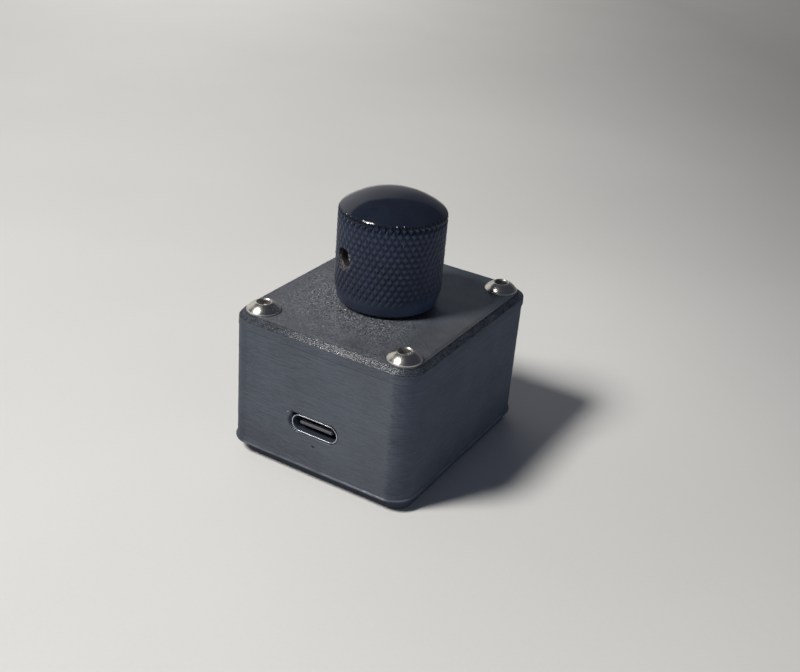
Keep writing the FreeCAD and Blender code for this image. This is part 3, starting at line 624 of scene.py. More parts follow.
def usb_material():
    """Receptacle shell: bright rolled lip; the inside is painted dark and not metallic, a painted shade."""
    base = (0.565, 0.60, 0.66)
    m = Mat("usb_shell_steel", base, 0.24, 1.0, 0.5)
    x, y, z = m.xyz()
    fine = m.noise(8.0, 3.0, 0.6)
    ax = m.math("MAXIMUM", m.math("SUBTRACT", m.math("ABSOLUTE", m.math("SUBTRACT", x, USB_X)), 2.89), 0.0)
    az = m.math("SUBTRACT", z, USB_Z)
    rr = m.math("SQRT", m.math("ADD", m.math("MULTIPLY", ax, ax), m.math("MULTIPLY", az, az)))
    # painted shade: inside the shell the surface is dark and not metallic
    inner_shade = m.math("MULTIPLY", m.remap(rr, 1.40, 1.44, 1.0, 0.0), m.remap(y, -20.50, -20.40, 0.0, 1.0))
    t = m.remap(fine, 0.3, 0.7, 0.95, 1.05)
    # the long sides of the lip are rougher and painted darker, a painted shade that dims their highlight
    side = m.remap(m.math("ABSOLUTE", az), 1.15, 1.35, 0.0, 1.0)
    t = m.math("MULTIPLY", t, m.math("MULTIPLY_ADD", side, -0.20, 1.0))
    m.color(m.scale_color(m.mix(inner_shade, base, (0.030, 0.034, 0.050)), t))
    m.nt.links.new(m.math("SUBTRACT", 1.0, inner_shade), m.b.inputs["Metallic"])
    rough = m.math("ADD", m.remap(fine, 0.3, 0.7, 0.21, 0.27), m.math("MULTIPLY", inner_shade, 0.15))
    m.rough(m.math("MULTIPLY_ADD", side, 0.10, rough))
    m.bump(fine, 0.05, 0.00001)
    return m.m


mat_pad = pad_material()
mat_knob = knob_material()
mat_screw = screw_material()
mat_usb = usb_material()


# --------------------------------------------------------------- the case body
def layer_rows(z0, n, a=0.022):
    """(z, inset, layer index) of the rows of n beads laid from z0 up."""
    rows = []
    for k in range(n):
        z = z0 + k * LAYER
        rows.append((z, a, k))
        rows.append((z + 0.065, 0.0, k))
        rows.append((z + 0.145, 0.0, k))
    rows.append((z0 + n * LAYER, a, n - 1))
    return rows


def ringing(pts):
    """Ripples a print head leaves after each corner, fading over a few mm."""
    d = np.minimum(np.abs(np.abs(pts[:, 0]) - (W / 2 - RC)) + 40.0 * (np.abs(pts[:, 1]) < D / 2 - 0.01),
                   np.abs(np.abs(pts[:, 1]) - (D / 2 - RC)) + 40.0 * (np.abs(pts[:, 0]) < W / 2 - 0.01))
    d = np.where((np.abs(pts[:, 0]) > W / 2 - RC) & (np.abs(pts[:, 1]) > D / 2 - RC), 0.0, d)
    return 0.014 * np.exp(-d / 3.5) * np.cos(2 * np.pi * d / 1.7)


def build_body():
    pts, nrm, s = rr_outline(W, D, RC, 0.60, 14)
    n_layers = 108
    off_k = RNG.normal(0, 0.0035, n_layers)
    ring0 = ringing(pts)
    rings = []
    for z, ins, k in layer_rows(Z_BODY0, n_layers, 0.015):
        flare = float(np.interp(z, [2.0, 2.20, 2.30, 2.40, 2.6, 3.1], [0.30, 0.30, 0.20, 0.10, 0.06, 0.0]))
        wav = 0.008 * noise2(s / 4.0, np.full_like(s, k * 0.35), 3.1) + 0.006 * noise2(s / 0.9, np.full_like(s, k * 0.9), 7.7)
        wav = wav + 0.010 * noise2(s / 1.7, np.full_like(s, k * 0.03), 9.9) + ring0
        off = flare - ins + off_k[k] + wav
        if z <= 2.001:
            off = off - 0.06
        rings.append(np.column_stack([pts + nrm * off[:, None], np.full(len(pts), z)]))
    body = ring_stack("case_body", rings)
    boolean(body, prism("t", W - 1.8, D - 1.8, RC - 0.9, 3.0, 25.0), "DIFFERENCE")
    core = cad_copy("body_shell")
    boolean(core, prism("t", W - 1.6, D - 1.6, RC - 0.8, 2.9, 24.5), "INTERSECT")
    boolean(body, core, "UNION")
    # cut-out for the receptacle, with the stepped ends and sagging top edge
    # that a printed hole has
    cw, ch, cx = 9.9, 3.9, -0.2
    left, right = [], []
    z = USB_Z - ch / 2
    n = int(round(ch / LAYER))
    for k in range(n + 1):
        za = z + k * ch / (n + 1)
        zb = z + (k + 1) * ch / (n + 1)
        zm = (za + zb) / 2 - USB_Z
        hw = cw / 2 - ch / 2 + math.sqrt(max(0.0, (ch / 2) ** 2 - zm * zm))
        jl, jr = RNG.normal(0, 0.02), RNG.normal(0, 0.02)
        right += [(cx + hw + jr, za), (cx + hw + jr, zb)]
        hl = hw if zm < 0.3 else max(hw, cw / 2 - 0.22 - 0.45 * max(0.0, zm - 0.9))
        left += [(cx - hl + jl, za), (cx - hl + jl, zb)]
    top = []
    xs = np.linspace(right[-1][0] - 0.35, left[-1][0] + 0.35, 15)
    for x in xs:
        u = (x - cx) / (cw / 2)
        top.append((x, USB_Z + ch / 2 - 0.02 - 0.20 * (1 - u ** 4) + 0.02 * float(noise2(x / 0.6, 0.0, 2.2))))
    outline = right + top + left[::-1]
    o = np.array(outline)
    front = np.column_stack([o[:, 0], np.full(len(o), -22.5), o[:, 1]])
    back = front.copy()
    back[:, 1] = -18.4
    boolean(body, ring_stack("t", [back, front]), "DIFFERENCE")
    return body


def pit(x, z, rx, rz, depth, name="t"):
    """A small lens-shaped cutter on the front face."""
    n, m = 16, 6
    rings = []
    for i in range(1, m):
        ph = math.pi * i / m
        t = np.linspace(0, 2 * np.pi, n, endpoint=False)
        rings.append(np.column_stack([x + rx * math.sin(ph) * np.cos(t), np.full(n, -D / 2 - depth * math.cos(ph)), z + rz * math.sin(ph) * np.sin(t)]))
    return ring_stack(name, rings)


body = build_body()
boolean(body, pit(0.02, 6.6, 0.40, 0.20, 0.45), "DIFFERENCE")
boolean(body, pit(-5.20, 11.48, 0.15, 0.11, 0.14), "UNION")
finish_piece(body, "case", mat_body, ("body_shell",), angle=38)


# ----------------------------------------------------------------------- lid
def build_lid():
    pts, nrm, s = rr_outline(W, D, RC, 0.30, 20)
    rings = []
    n_layers = 12
    a = 0.016
    off_k = RNG.normal(0, 0.004, n_layers)
    ring0 = ringing(pts)

    def rough_edge(k, amp=0.010):
        row = np.full_like(s, float(k))
        return ring0 + off_k[k] + amp * noise2(s / 3.0, row * 0.4, 4.4) + amp * 1.3 * noise2(s / 0.55, row * 1.7, 5.5)

    for k in range(n_layers):
        z = Z_SEAM + k * LAYER
        zm = z + LAYER / 2
        ch = max(0.0, zm - 25.0)
        flare = 0.05 * max(0.0, 1 - (z - 23.6) / 1.4)
        amp = 0.007 if ch == 0 else 0.030
        over = 0.26 * np.clip(nrm[:, 0] * 0.7071 + nrm[:, 1] * 0.7071, 0, 1) ** 10 * min(1.0, max(0.0, (25.6 - z) / 0.6))
        base = flare - ch + rough_edge(k, amp) + over
        if ch == 0:
            prof = ((0.0, a if k else 0.006), (0.055, 0.0), (0.14, 0.0), (0.19, a * 1.2))
        else:
            prof = ((0.0, 0.0), (0.05, -0.012), (0.10, 0.004), (0.145, 0.045), (0.178, 0.10), (0.196, 0.165))
        for q, (dz, ins) in enumerate(prof):
            zz = z + dz
            if ch:
                zz = zz + 0.022 * noise2(s / 0.42, np.full_like(s, k * 2.3 + q * 0.45), 6.6) * (0.2 < q < 6)
            off = base - ins
            if ch:
                off = off + 0.030 * noise2(s / 0.38, np.full_like(s, k * 3.1 + q * 0.5), 2.6)
            rings.append(np.column_stack([pts + nrm * off[:, None], zz + np.zeros_like(s)]))
    # perimeter beads on the top face
    bead = 0.42
    off0 = -0.9
    for b in range(4):
        for t, dip in ((0.0, 0.012), (0.16, 0.002), (0.5, 0.0), (0.84, 0.002)):
            if b == 0 and t == 0.0:
                t, dip = 0.06, 0.012
            if b == 1 and t == 0.0:
                dip = 0.045
            off = off0 - (b + t) * bead + 0.012 * noise2(s / 1.6, np.full_like(s, b * 3.1), 8.1)
            zz = Z_LID - dip + 0.012 * noise2(s / 0.45, np.full_like(s, b * 2.0 + t * 1.7), 1.9)
            rings.append(np.column_stack([pts + nrm * off[:, None], zz]))
    off = off0 - 4 * bead
    rings.append(np.column_stack([pts + nrm * off, np.full(len(s), Z_LID - 0.015)]))
    rings.append(np.column_stack([pts + nrm * (off - 0.03), np.full(len(s), Z_LID - 0.20)]))
    lid = ring_stack("case_lid", rings)

    # raster of the top layer: lines at 45 degrees, each a low bead
    u = np.arange(-27.0, 27.01, 0.40)
    per = (0.0, 0.28, 0.72)
    n_line = 124
    v, dip, idx = [], [], []
    for k in range(n_line):
        for t in per:
            v.append((k + t - n_line / 2) * bead)
            dip.append(0.012 if t == 0.0 else 0.0)
            idx.append(k)
    v, dip, idx = np.array(v), np.array(dip), np.array(idx)
    tilt = RNG.normal(0, 0.003, n_line)
    hk = RNG.normal(0, 0.003, n_line)
    U, Vv = np.meshgrid(u, v)
    K = np.repeat(idx[:, None], len(u), axis=1)
    Z = Z_LID - dip[:, None] + hk[idx][:, None] + (tilt[idx] * (np.array(per)[np.arange(len(v)) % 3] - 0.5) * 2)[:, None]
    Z = Z + 0.020 * noise2(U / 0.45, K * 1.3, 2.7) + 0.012 * noise2(U / 1.3, Vv / 0.5, 5.7) + 0.005 * noise2(U / 2.8, Vv / 2.8, 3.7)
    Vw = Vv + 0.02 * noise2(U / 2.2, K * 0.9, 6.2)
    c = math.sqrt(0.5)
    # lines run from the front right to the rear left
    X = (U * -c) + (Vw * c)
    Y = (U * c) + (Vw * c)
    nr, nc = U.shape
    top = np.stack([X, Y, Z], -1).reshape(-1, 3)
    faces = []
    i = np.arange(nr - 1)[:, None] * nc
    j = np.arange(nc - 1)[None, :]
    q = np.stack([i + j, i + nc + j, i + nc + j + 1, i + j + 1], -1).reshape(-1, 4)
    faces = q.tolist()
    # close it below
    edge = list(range(nc)) + [r * nc + nc - 1 for r in range(1, nr)] + [(nr - 1) * nc + x for x in range(nc - 2, -1, -1)] + [r * nc for r in range(nr - 2, 0, -1)]
    base_i = len(top)
    low = top[edge].copy()
    low[:, 2] = 25.55
    ne = len(edge)
    for a0 in range(ne):
        b0 = (a0 + 1) % ne
        faces.append([edge[a0], edge[b0], base_i + b0, base_i + a0])
    faces.append([base_i + x for x in range(ne)][::-1])
    allv = np.concatenate([top, low])
    slab = new_object("raster", allv, faces)
    # the winding above is turned outward here, whatever the sign of the frame
    me = slab.data
    import bmesh
    bm = bmesh.new()
    bm.from_mesh(me)
    bmesh.ops.recalc_face_normals(bm, faces=bm.faces)
    bm.to_mesh(me)
    bm.free()
    inset = 2 * (0.9 + 4 * bead) - 0.02
    boolean(slab, prism("t", W - inset, D - inset, RC - inset / 2, 25.6, 27.0, 14), "INTERSECT")
    boolean(lid, slab, "UNION")
    core = cad_copy("lid")
    boolean(core, prism("t", W - 1.6, D - 1.6, RC - 0.8, 22.0, 25.0), "INTERSECT")
    boolean(lid, core, "UNION")
    for x, y in CORNERS:
        boolean(lid, cylinder("t", 1.7, 22.0, 27.0, x, y, 40), "DIFFERENCE")
    boolean(lid, cylinder("t", 3.6, 22.0, 27.0, 0, 0, 64), "DIFFERENCE")
    boolean(lid, block("t", -5.7, -1.15, 23.1, -4.9, 1.15, 24.7), "DIFFERENCE")
    return lid


lid = build_lid()
finish_piece(lid, "case", mat_lid, ("lid",), angle=62)


# ----------------------------------------------------------------- rubber pad
def build_pad():
    w, d, r, cx = 32.4, 38.8, 3.0, 0.7
    pts, nrm, s = rr_outline(w, d, r, 0.5, 10)
    pts = pts + [cx, 0.0]
    rings = []
    prof = [(0.0, 0.22), (0.06, 0.08), (0.2, 0.0), (0.5, 0.02), (0.8, 0.05), (1.1, 0.06), (1.4, 0.05), (1.7, 0.02), (1.9, 0.0), (2.0, 0.05)]
    for k, (z, ins) in enumerate(prof):
        wob = 0.05 * noise2(s / 5.0, np.full_like(s, 0.3), 5.1) + 0.018 * noise2(s / 0.9, np.full_like(s, z * 2.5), 6.1)
        if z in (0.0, 2.0):
            wob = wob * 0.8
        rings.append(np.column_stack([pts + nrm * (wob - ins)[:, None], np.full(len(s), z)]))
    return ring_stack("pad_rubber", rings)


pad = build_pad()
finish_piece(pad, "case", mat_pad, ("anti_slip_pad",), angle=50)


# ------------------------------------------------------- button-head lid screws
def build_screw(name, x, y, turn, seg=96):
    hr, sag = 2.85, 1.45
    rad = (hr * hr + sag * sag) / (2 * sag)
    zc = Z_LID + 0.2 + sag - rad
    r_flat = 1.36
    z_top = zc + rad * math.cos(math.asin(r_flat / rad))
    t = np.linspace(0, 2 * np.pi, seg, endpoint=False)
    ct, st = np.cos(t), np.sin(t)
    af = 2.0

    def circ(r, z):
        return np.column_stack([r * ct, r * st, np.full(seg, z)])

    def hexa(scale, z):
        m = np.mod(t, math.pi / 3) - math.pi / 6
        r = scale * af / 2 / np.cos(m)
        return np.column_stack([r * ct, r * st, np.full(seg, z)])

    def thread(z, z_a, z_b):
        # 60 degree thread, 0.5 pitch, faded at both ends
        fade = min(1.0, max(0.0, (z - z_a) / 0.35), 1.0) * min(1.0, max(0.0, (z_b - z) / 0.5))
        ph = np.mod(z / 0.5 - t / (2 * np.pi), 1.0)
        h = np.clip(1.25 - 2.9 * np.abs(ph - 0.5), 0.0, 1.0)
        r = 1.5 - 0.27 * (1 - h) * fade - (0.25 * max(0.0, (z_a + 0.35 - z) / 0.35) if z < z_a + 0.35 else 0.0)
        return np.column_stack([r * ct, r * st, np.full(seg, z)])

    z_tip, z_neck = Z_LID - 8.0, Z_LID - 0.15
    rings = [circ(0.35, z_tip)]
    zz = z_tip
    while zz < z_neck - 0.5:
        rings.append(thread(zz, z_tip, z_neck - 0.5))
        zz += 0.5 / 7
    rings.append(circ(1.5, z_neck - 0.45))
    rings.append(circ(1.5, Z_LID - 0.02))
    rings.append(circ(1.56, Z_LID))
    # underside, rounded rim, dome
    rho = 0.32
    cr = hr - rho
    cz = zc + math.sqrt((rad - rho) ** 2 - cr * cr)
    rings.append(circ(cr, Z_LID - 0.0))
    a0 = math.acos((Z_LID - cz) / rho)
    a1 = math.atan2(cr, cz - zc)
    for k in range(9):
        an = a0 + (a1 - a0) * k / 8
        rings.append(circ(cr + rho * math.sin(an), cz + rho * math.cos(an)))
    a_top = math.asin(r_flat / rad)
    for k in range(1, 15):
        an = a1 + (a_top - a1) * k / 14
        rings.append(circ(rad * math.sin(an), zc + rad * math.cos(an)))
    # flat, broken edge, countersink, hexagon, drill point
    rings.append(circ(r_flat - 0.03, z_top + 0.012))
    rings.append(circ(1.27, z_top + 0.012))
    rings.append(circ(1.24, z_top - 0.006))
    rings.append(circ(1.10, z_top - 0.17))
    rings.append(hexa(0.985, z_top - 0.20))
    rings.append(hexa(0.985, z_top - 0.98))
    rings.append(hexa(0.93, z_top - 1.05))
    rings.append(circ(0.78, z_top - 1.06))
    rings.append(circ(0.18, z_top - 1.26))
    ob = ring_stack(name, rings)
    ob.data.transform(Matrix.Translation((x, y, 0)) @ Matrix.Rotation(turn, 4, "Z"))
    return ob


TURNS = (0.30, 0.95, 1.73, 0.55)
for i, (x, y) in enumerate(CORNERS):
    sc = build_screw("lid_screw_%d" % (i + 1), x, y, TURNS[i])
    finish_piece(sc, "case", mat_screw, angle=36)
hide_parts("lid_screws")


# ----------------------------------------------------------------------- knob
KN_R, KN_Z0, KN_BEV, KN_Z1, DOME = 9.1, 26.6, 28.8, 42.4, 3.2
DOME_R = (KN_R ** 2 + DOME ** 2) / (2 * DOME)
N_DIA, COLS, VPER = 50, 12, 2.0


def knurl_depth(u, z):
    """0 on a pip, 1 in a groove; u counts pips round the knob. Pips are round
    topped and the grooves between them are narrow."""
    p = np.abs(np.sin(np.pi * (u + z / VPER)))
    q = np.abs(np.sin(np.pi * (u - z / VPER)))
    return 1.0 - (p * q) ** 0.75


def build_knob():
    nc = N_DIA * COLS
    t = 2 * np.pi * np.arange(nc) / nc
    u = t / (2 * np.pi) * N_DIA
    ct, st = np.cos(t), np.sin(t)
    dz = VPER / COLS
    rings, kind = [], []

    def groove(z):
        """Depth of the knurl at height z: it is cut deeper at the top edge."""
        return (0.21 + 0.25 * min(1.0, max(0.0, (z - 40.8) / 0.9))) * knurl_depth(u, z)

    def ring(r, z):
        r = np.asarray(r) + np.zeros(nc)
        z = np.asarray(z) + np.zeros(nc)
        return np.column_stack([r * ct, r * st, z])

    def smooth_profile(z):
        """Radius of the turned outline at height z: a bevel that rounds into the side."""
        if z > 30.6:
            return 99.0
        t = (30.2 - z) / 3.6
        return KN_R + 0.02 - 0.70 * max(t, 0.0) ** 1.7 + 0.25 * max(-t, 0.0)

    # inside: recess floor and bore, from the blind top of the bore outward
    rings += [ring(0.6, 39.4), ring(3.05, 39.4), ring(3.05, 31.4), ring(3.8, 31.4), ring(3.8, 29.5), ring(6.3, 29.5), ring(6.3, 26.75), ring(6.42, 26.6)]
    n_in = len(rings)
    # base and bevel
    rings += [ring(8.24, 26.59), ring(8.38, 26.61), ring(8.46, 26.69)]
    # knurl: the turned lower end runs out through the grooves
    z = math.ceil(26.95 / dz) * dz
    k0 = len(rings)
    while z < 41.80:
        rk = KN_R - groove(z)
        prof = smooth_profile(z)
        # a soft minimum, so the grooves fade instead of ending on an edge
        r = -np.logaddexp(-rk / 0.02, -prof / 0.02) * 0.02 if prof < KN_R + 0.1 else rk
        rings.append(ring(r, z))
        z += dz
    k1 = len(rings)
    # rounded shoulder tangent to the dome, then the dome
    rc = 1.30
    cx = KN_R - rc
    apex = KN_Z1 + DOME
    z_c = apex - DOME_R
    cz = z_c + math.sqrt((DOME_R - rc) ** 2 - cx * cx)
    a_t = math.atan2(cx, cz - z_c)
    n_sh = 14
    for k in range(n_sh + 1):
        an = math.pi / 2 + (a_t - math.pi / 2) * k / n_sh
        rr, zz = cx + rc * math.sin(an), cz + rc * math.cos(an)
        rk = KN_R - groove(zz)
        rings.append(ring(-np.logaddexp(-rr / 0.012, -rk / 0.012) * 0.012, zz))
    r_end = cx + rc * math.sin(a_t)
    for k in range(1, 26):
        rr = r_end * (1 - k / 26.0)
        zz = z_c + math.sqrt(DOME_R ** 2 - rr ** 2)
        if k < 3:
            rr = -np.logaddexp(-rr / 0.012, -(KN_R - groove(zz)) / 0.012) * 0.012
        rings.append(ring(rr, zz))
    v = np.concatenate(rings)
    nr = len(rings)
    # triangles follow the grooves in the knurl, quads elsewhere
    faces = []
    i = np.arange(nc)
    j = (i + 1) % nc
    for r in range(nr - 1):
        a, b = r * nc + i, r * nc + j
        c, d = (r + 1) * nc + j, (r + 1) * nc + i
        if k0 <= r < k1 + 15:
            # choose the diagonal whose middle is closer to a groove
            z0, z1 = v[a, 2], v[d, 2]
            um = (i + 0.5) / COLS
            zm = (z0 + z1) / 2
            p = um + zm / VPER
            q = um - zm / VPER
            dp = np.abs(p - np.round(p))
            dq = np.abs(q - np.round(q))
            use_bd = dp < dq
            t1 = np.where(use_bd[:, None], np.stack([a, b, d], -1), np.stack([a, b, c], -1))
            t2 = np.where(use_bd[:, None], np.stack([b, c, d], -1), np.stack([a, c, d], -1))
            faces += t1.tolist() + t2.tolist()
        else:
            faces += np.stack([a, b, c, d], -1).tolist()
    # close both ends with fans round a centre point
    nv = len(v)
    v = np.concatenate([v, [[0, 0, 39.4], [0, 0, apex]]])
    s = (nr - 1) * nc
    faces += np.stack([j, i, np.full(nc, nv)], -1).tolist()
    faces += np.stack([s + i, s + j, np.full(nc, nv + 1)], -1).tolist()
    ob = new_object("knob_metal", v, faces)
    # hole for the set screw, with a small countersink
    n = 40
    tt = np.linspace(0, 2 * np.pi, n, endpoint=False)
    prof2 = [(1.5, 2.4), (1.5, 8.35), (1.58, 8.42), (1.80, 8.95), (1.86, 9.6)]
    rs = [np.column_stack([r * np.cos(tt), r * np.sin(tt), np.full(n, h)]) for r, h in prof2]
    cut = ring_stack("t", rs)
    rot = Matrix.Rotation(SET_AZ, 4, "Z") @ Matrix.Rotation(math.radians(90), 4, "Y")
    cut.data.transform(Matrix.Translation((0, 0, SET_Z)) @ rot)
    boolean(ob, cut, "DIFFERENCE")
    return ob


knob = build_knob()
finish_piece(knob, "knob", mat_knob, ("knob",), angle=24)


def build_set_screw():
    seg = 72
    t = np.linspace(0, 2 * np.pi, seg, endpoint=False)
    ct, st = np.cos(t), np.sin(t)

    def circ(r, z):
        return np.column_stack([r * ct, r * st, np.full(seg, z)])

    def hexa(af, z):
        m = np.mod(t, math.pi / 3) - math.pi / 6
        r = af / 2 / np.cos(m)
        return np.column_stack([r * ct, r * st, np.full(seg, z)])

    x0, x1 = 1.52, 7.52
    rings = [circ(0.5, x0 + 0.25), circ(0.85, x0), circ(1.0, x0 + 0.02)]
    z = x0 + 0.25
    while z < x1 - 0.3:
        ph = np.mod(z / 0.5 - t / (2 * np.pi), 1.0)
        h = np.clip(1.25 - 2.9 * np.abs(ph - 0.5), 0.0, 1.0)
        r = 1.47 - 0.25 * (1 - h)
        rings.append(np.column_stack([r * ct, r * st, np.full(seg, z)]))
        z += 0.5 / 7
    rings += [circ(1.40, x1 - 0.20), circ(1.25, x1 - 0.05), circ(1.18, x1), circ(0.98, x1), circ(0.94, x1 - 0.03),
              hexa(1.5, x1 - 0.16), hexa(1.48, x1 - 1.35), circ(0.4, x1 - 1.5)]
    ob = ring_stack("knob_grub_screw", rings)
    rot = Matrix.Rotation(SET_AZ, 4, "Z") @ Matrix.Rotation(math.radians(90), 4, "Y")
    ob.data.transform(Matrix.Translation((0, 0, SET_Z)) @ rot @ Matrix.Rotation(0.35, 4, "Z"))
    return ob


grub = build_set_screw()
mat_grub = steel_material("grub_screw_steel", (0.34, 0.33, 0.32), 0.26)
finish_piece(grub, "knob", mat_grub, ("knob_set_screw",), angle=36)


# ------------------------------------------------------------- USB-C receptacle
def stadium(w, h, n=24):
    """Points of a stadium in XZ about its centre, counter-clockwise seen from -Y."""
    r = h / 2
    s = w / 2 - r
    out = []
    for t in np.linspace(-90, 90, n + 1):
        out.append((s + r * math.cos(math.radians(t)), r * math.sin(math.radians(t))))
    for t in np.linspace(90, 270, n + 1):
        out.append((-s + r * math.cos(math.radians(t)), r * math.sin(math.radians(t))))
    return np.array(out)


def build_usb_shell():
    y0 = -20.55
    y1 = y0 + 7.35
    rings = []

    def ring(w, h, y):
        p = stadium(w, h)
        return np.column_stack([p[:, 0] + USB_X, np.full(len(p), y), p[:, 1] + USB_Z])

    wo, ho, t = 8.94, 3.16, 0.30
    # from the back, over the outside, round the lip, in to the blind end
    rings.append(ring(wo - 0.3, ho - 0.3, y1))
    rings.append(ring(wo - 0.06, ho - 0.06, y1 - 0.06))
    rings.append(ring(wo, ho, y1 - 0.2))
    # rolled lip: small outer round, narrow flat, inner round and a lead-in
    r1, flat, r2 = 0.06, 0.05, 0.05
    for a in (0, 30, 60, 90):
        an = math.radians(a)
        off = -r1 + r1 * math.cos(an)
        rings.append(ring(wo + 2 * off, ho + 2 * off, y0 + r1 - r1 * math.sin(an)))
    for a in (90, 60, 30, 12):
        an = math.radians(a)
        off = -(r1 + flat) - r2 * math.cos(an)
        rings.append(ring(wo + 2 * off, ho + 2 * off, y0 + r2 - r2 * math.sin(an)))
    rings.append(ring(wo - 2 * 0.22, ho - 2 * 0.22, y0 + 0.30))
    rings.append(ring(wo - 2 * t, ho - 2 * t, y0 + 0.75))
    rings.append(ring(wo - 2 * t, ho - 2 * t, y1 - 1.0))
    ob = ring_stack("usb_shell", rings)
    # seam of the folded sheet, seen on the lip
    boolean(ob, block("t", USB_X + 1.86, y0 - 0.2, USB_Z + 1.2, USB_X + 1.97, y0 + 2.6, USB_Z + 2.0), "DIFFERENCE")
    z0 = PCB_Z1 - 1.6
    for s in (-1, 1):
        for yy in (-17.4, -14.2):
            xa, xb = sorted((s * 4.40, s * 4.77))
            leg = block("t", USB_X + xa, yy - 0.45, z0 + 0.1, USB_X + xb, yy + 0.45, USB_Z + 0.3)
            boolean(ob, leg, "UNION")
    return ob


usb = build_usb_shell()
finish_piece(usb, "case", mat_usb, ("usb_c_shell",), angle=40)


def build_tongue():
    """Moulded tongue: rounded front edge, thicker root."""
    y0, y1 = -20.10, -14.22
    hw, hh = 3.345, 0.35
    n = 8
    rings = []

    def rect(hx, hz, y, r):
        pts = []
        r = min(r, hx * 0.99, hz * 0.99)
        for cx, cz, t0 in ((hx - r, -hz + r, -90), (hx - r, hz - r, 0), (-hx + r, hz - r, 90), (-hx + r, -hz + r, 180)):
            for t in np.linspace(t0, t0 + 90, 5):
                pts.append((cx + r * math.cos(math.radians(t)), cz + r * math.sin(math.radians(t))))
        p = np.array(pts)
        return np.column_stack([p[:, 0] + USB_X, np.full(len(p), y), p[:, 1] + USB_Z])

    rings.append(rect(hw, hh, y1, 0.06))
    rings.append(rect(hw, hh, y0 + 0.50, 0.06))
    rings.append(rect(hw - 0.12, hh - 0.05, y0 + 0.26, 0.06))
    rings.append(rect(hw - 0.26, hh - 0.12, y0 + 0.05, 0.06))
    rings.append(rect(hw - 0.30, hh - 0.15, y0 + 0.01, 0.06))
    rings.append(rect(hw - 0.34, hh - 0.18, y0, 0.05))
    return ring_stack("usb_tongue", rings)


def tongue_material():
    """Moulded plastic, painted darker on its upper face and towards its root: painted shade inside the receptacle."""
    m = Mat("tongue_plastic", (0.070, 0.073, 0.096), 0.42, 0.0, 0.5)
    x, y, z = m.xyz()
    fine = m.noise(6.0, 3.0, 0.6)
    t = m.math("MULTIPLY", m.remap(fine, 0.3, 0.7, 0.92, 1.08), m.remap(z, USB_Z + 0.14, USB_Z + 0.28, 1.0, 0.35))
    t = m.math("MULTIPLY", t, m.remap(y, -19.9, -19.0, 1.0, 0.45))
    m.color(m.scale_color((0.076, 0.080, 0.104), t))
    m.rough(m.remap(fine, 0.3, 0.7, 0.38, 0.46))
    m.bump(fine, 0.05, 0.00001)
    return m.m


mat_tongue = tongue_material()
tongue = build_tongue()
finish_piece(tongue, "case", mat_tongue, ("usb_c_tongue",), angle=40)


# ------------------------------------------- finishes of the carried-over nodes
def gold(name):
    return steel_material(name, (0.83, 0.61, 0.27), 0.22)


def board_material():
    m = Mat("solder_mask", (0.010, 0.040, 0.085), 0.32, 0.0, 0.5, coat=0.3, coat_rough=0.15)
    x, y, z = m.xyz()
    # copper under the mask shows as slightly lighter tracks
    w = m.nt.nodes.new("ShaderNodeTexBrick")
    w.inputs["Scale"].default_value = 0.55
    w.inputs["Mortar Size"].default_value = 0.035
    w.inputs["Color1"].default_value = (1, 1, 1, 1)
    w.inputs["Color2"].default_value = (0.86, 0.86, 0.86, 1)
    w.inputs["Mortar"].default_value = (0.55, 0.55, 0.55, 1)
    m.nt.links.new(m.pos, w.inputs["Vector"])
    tracks = m.node("ShaderNodeRGBToBW", None, w.outputs["Color"]).outputs[0]
    fine = m.noise(8.0, 3.0)
    t = m.math("ADD", m.remap(tracks, 0.5, 1.0, 1.35, 0.95), m.remap(fine, 0.3, 0.7, -0.1, 0.1))
    m.color(m.scale_color((0.010, 0.040, 0.085), t))
    m.rough(m.remap(fine, 0.3, 0.7, 0.25, 0.42))
    m.bump(m.math("ADD", m.math("MULTIPLY", tracks, 0.6), m.math("MULTIPLY", fine, 0.2)), 0.3, 0.00003)
    return m.m


def wire_material(name, base):
    m = Mat(name, base, 0.38, 0.0, 0.5)
    fine = m.noise(5.0, 3.0)
    big = m.noise(0.5, 2.0)
    t = m.math("ADD", m.remap(big, 0.3, 0.7, 0.88, 1.12), m.remap(fine, 0.3, 0.7, -0.06, 0.06))
    m.color(m.scale_color(base, t))
    m.rough(m.remap(fine, 0.3, 0.7, 0.3, 0.46))
    m.bump(fine, 0.1, 0.00002)
    return m.m


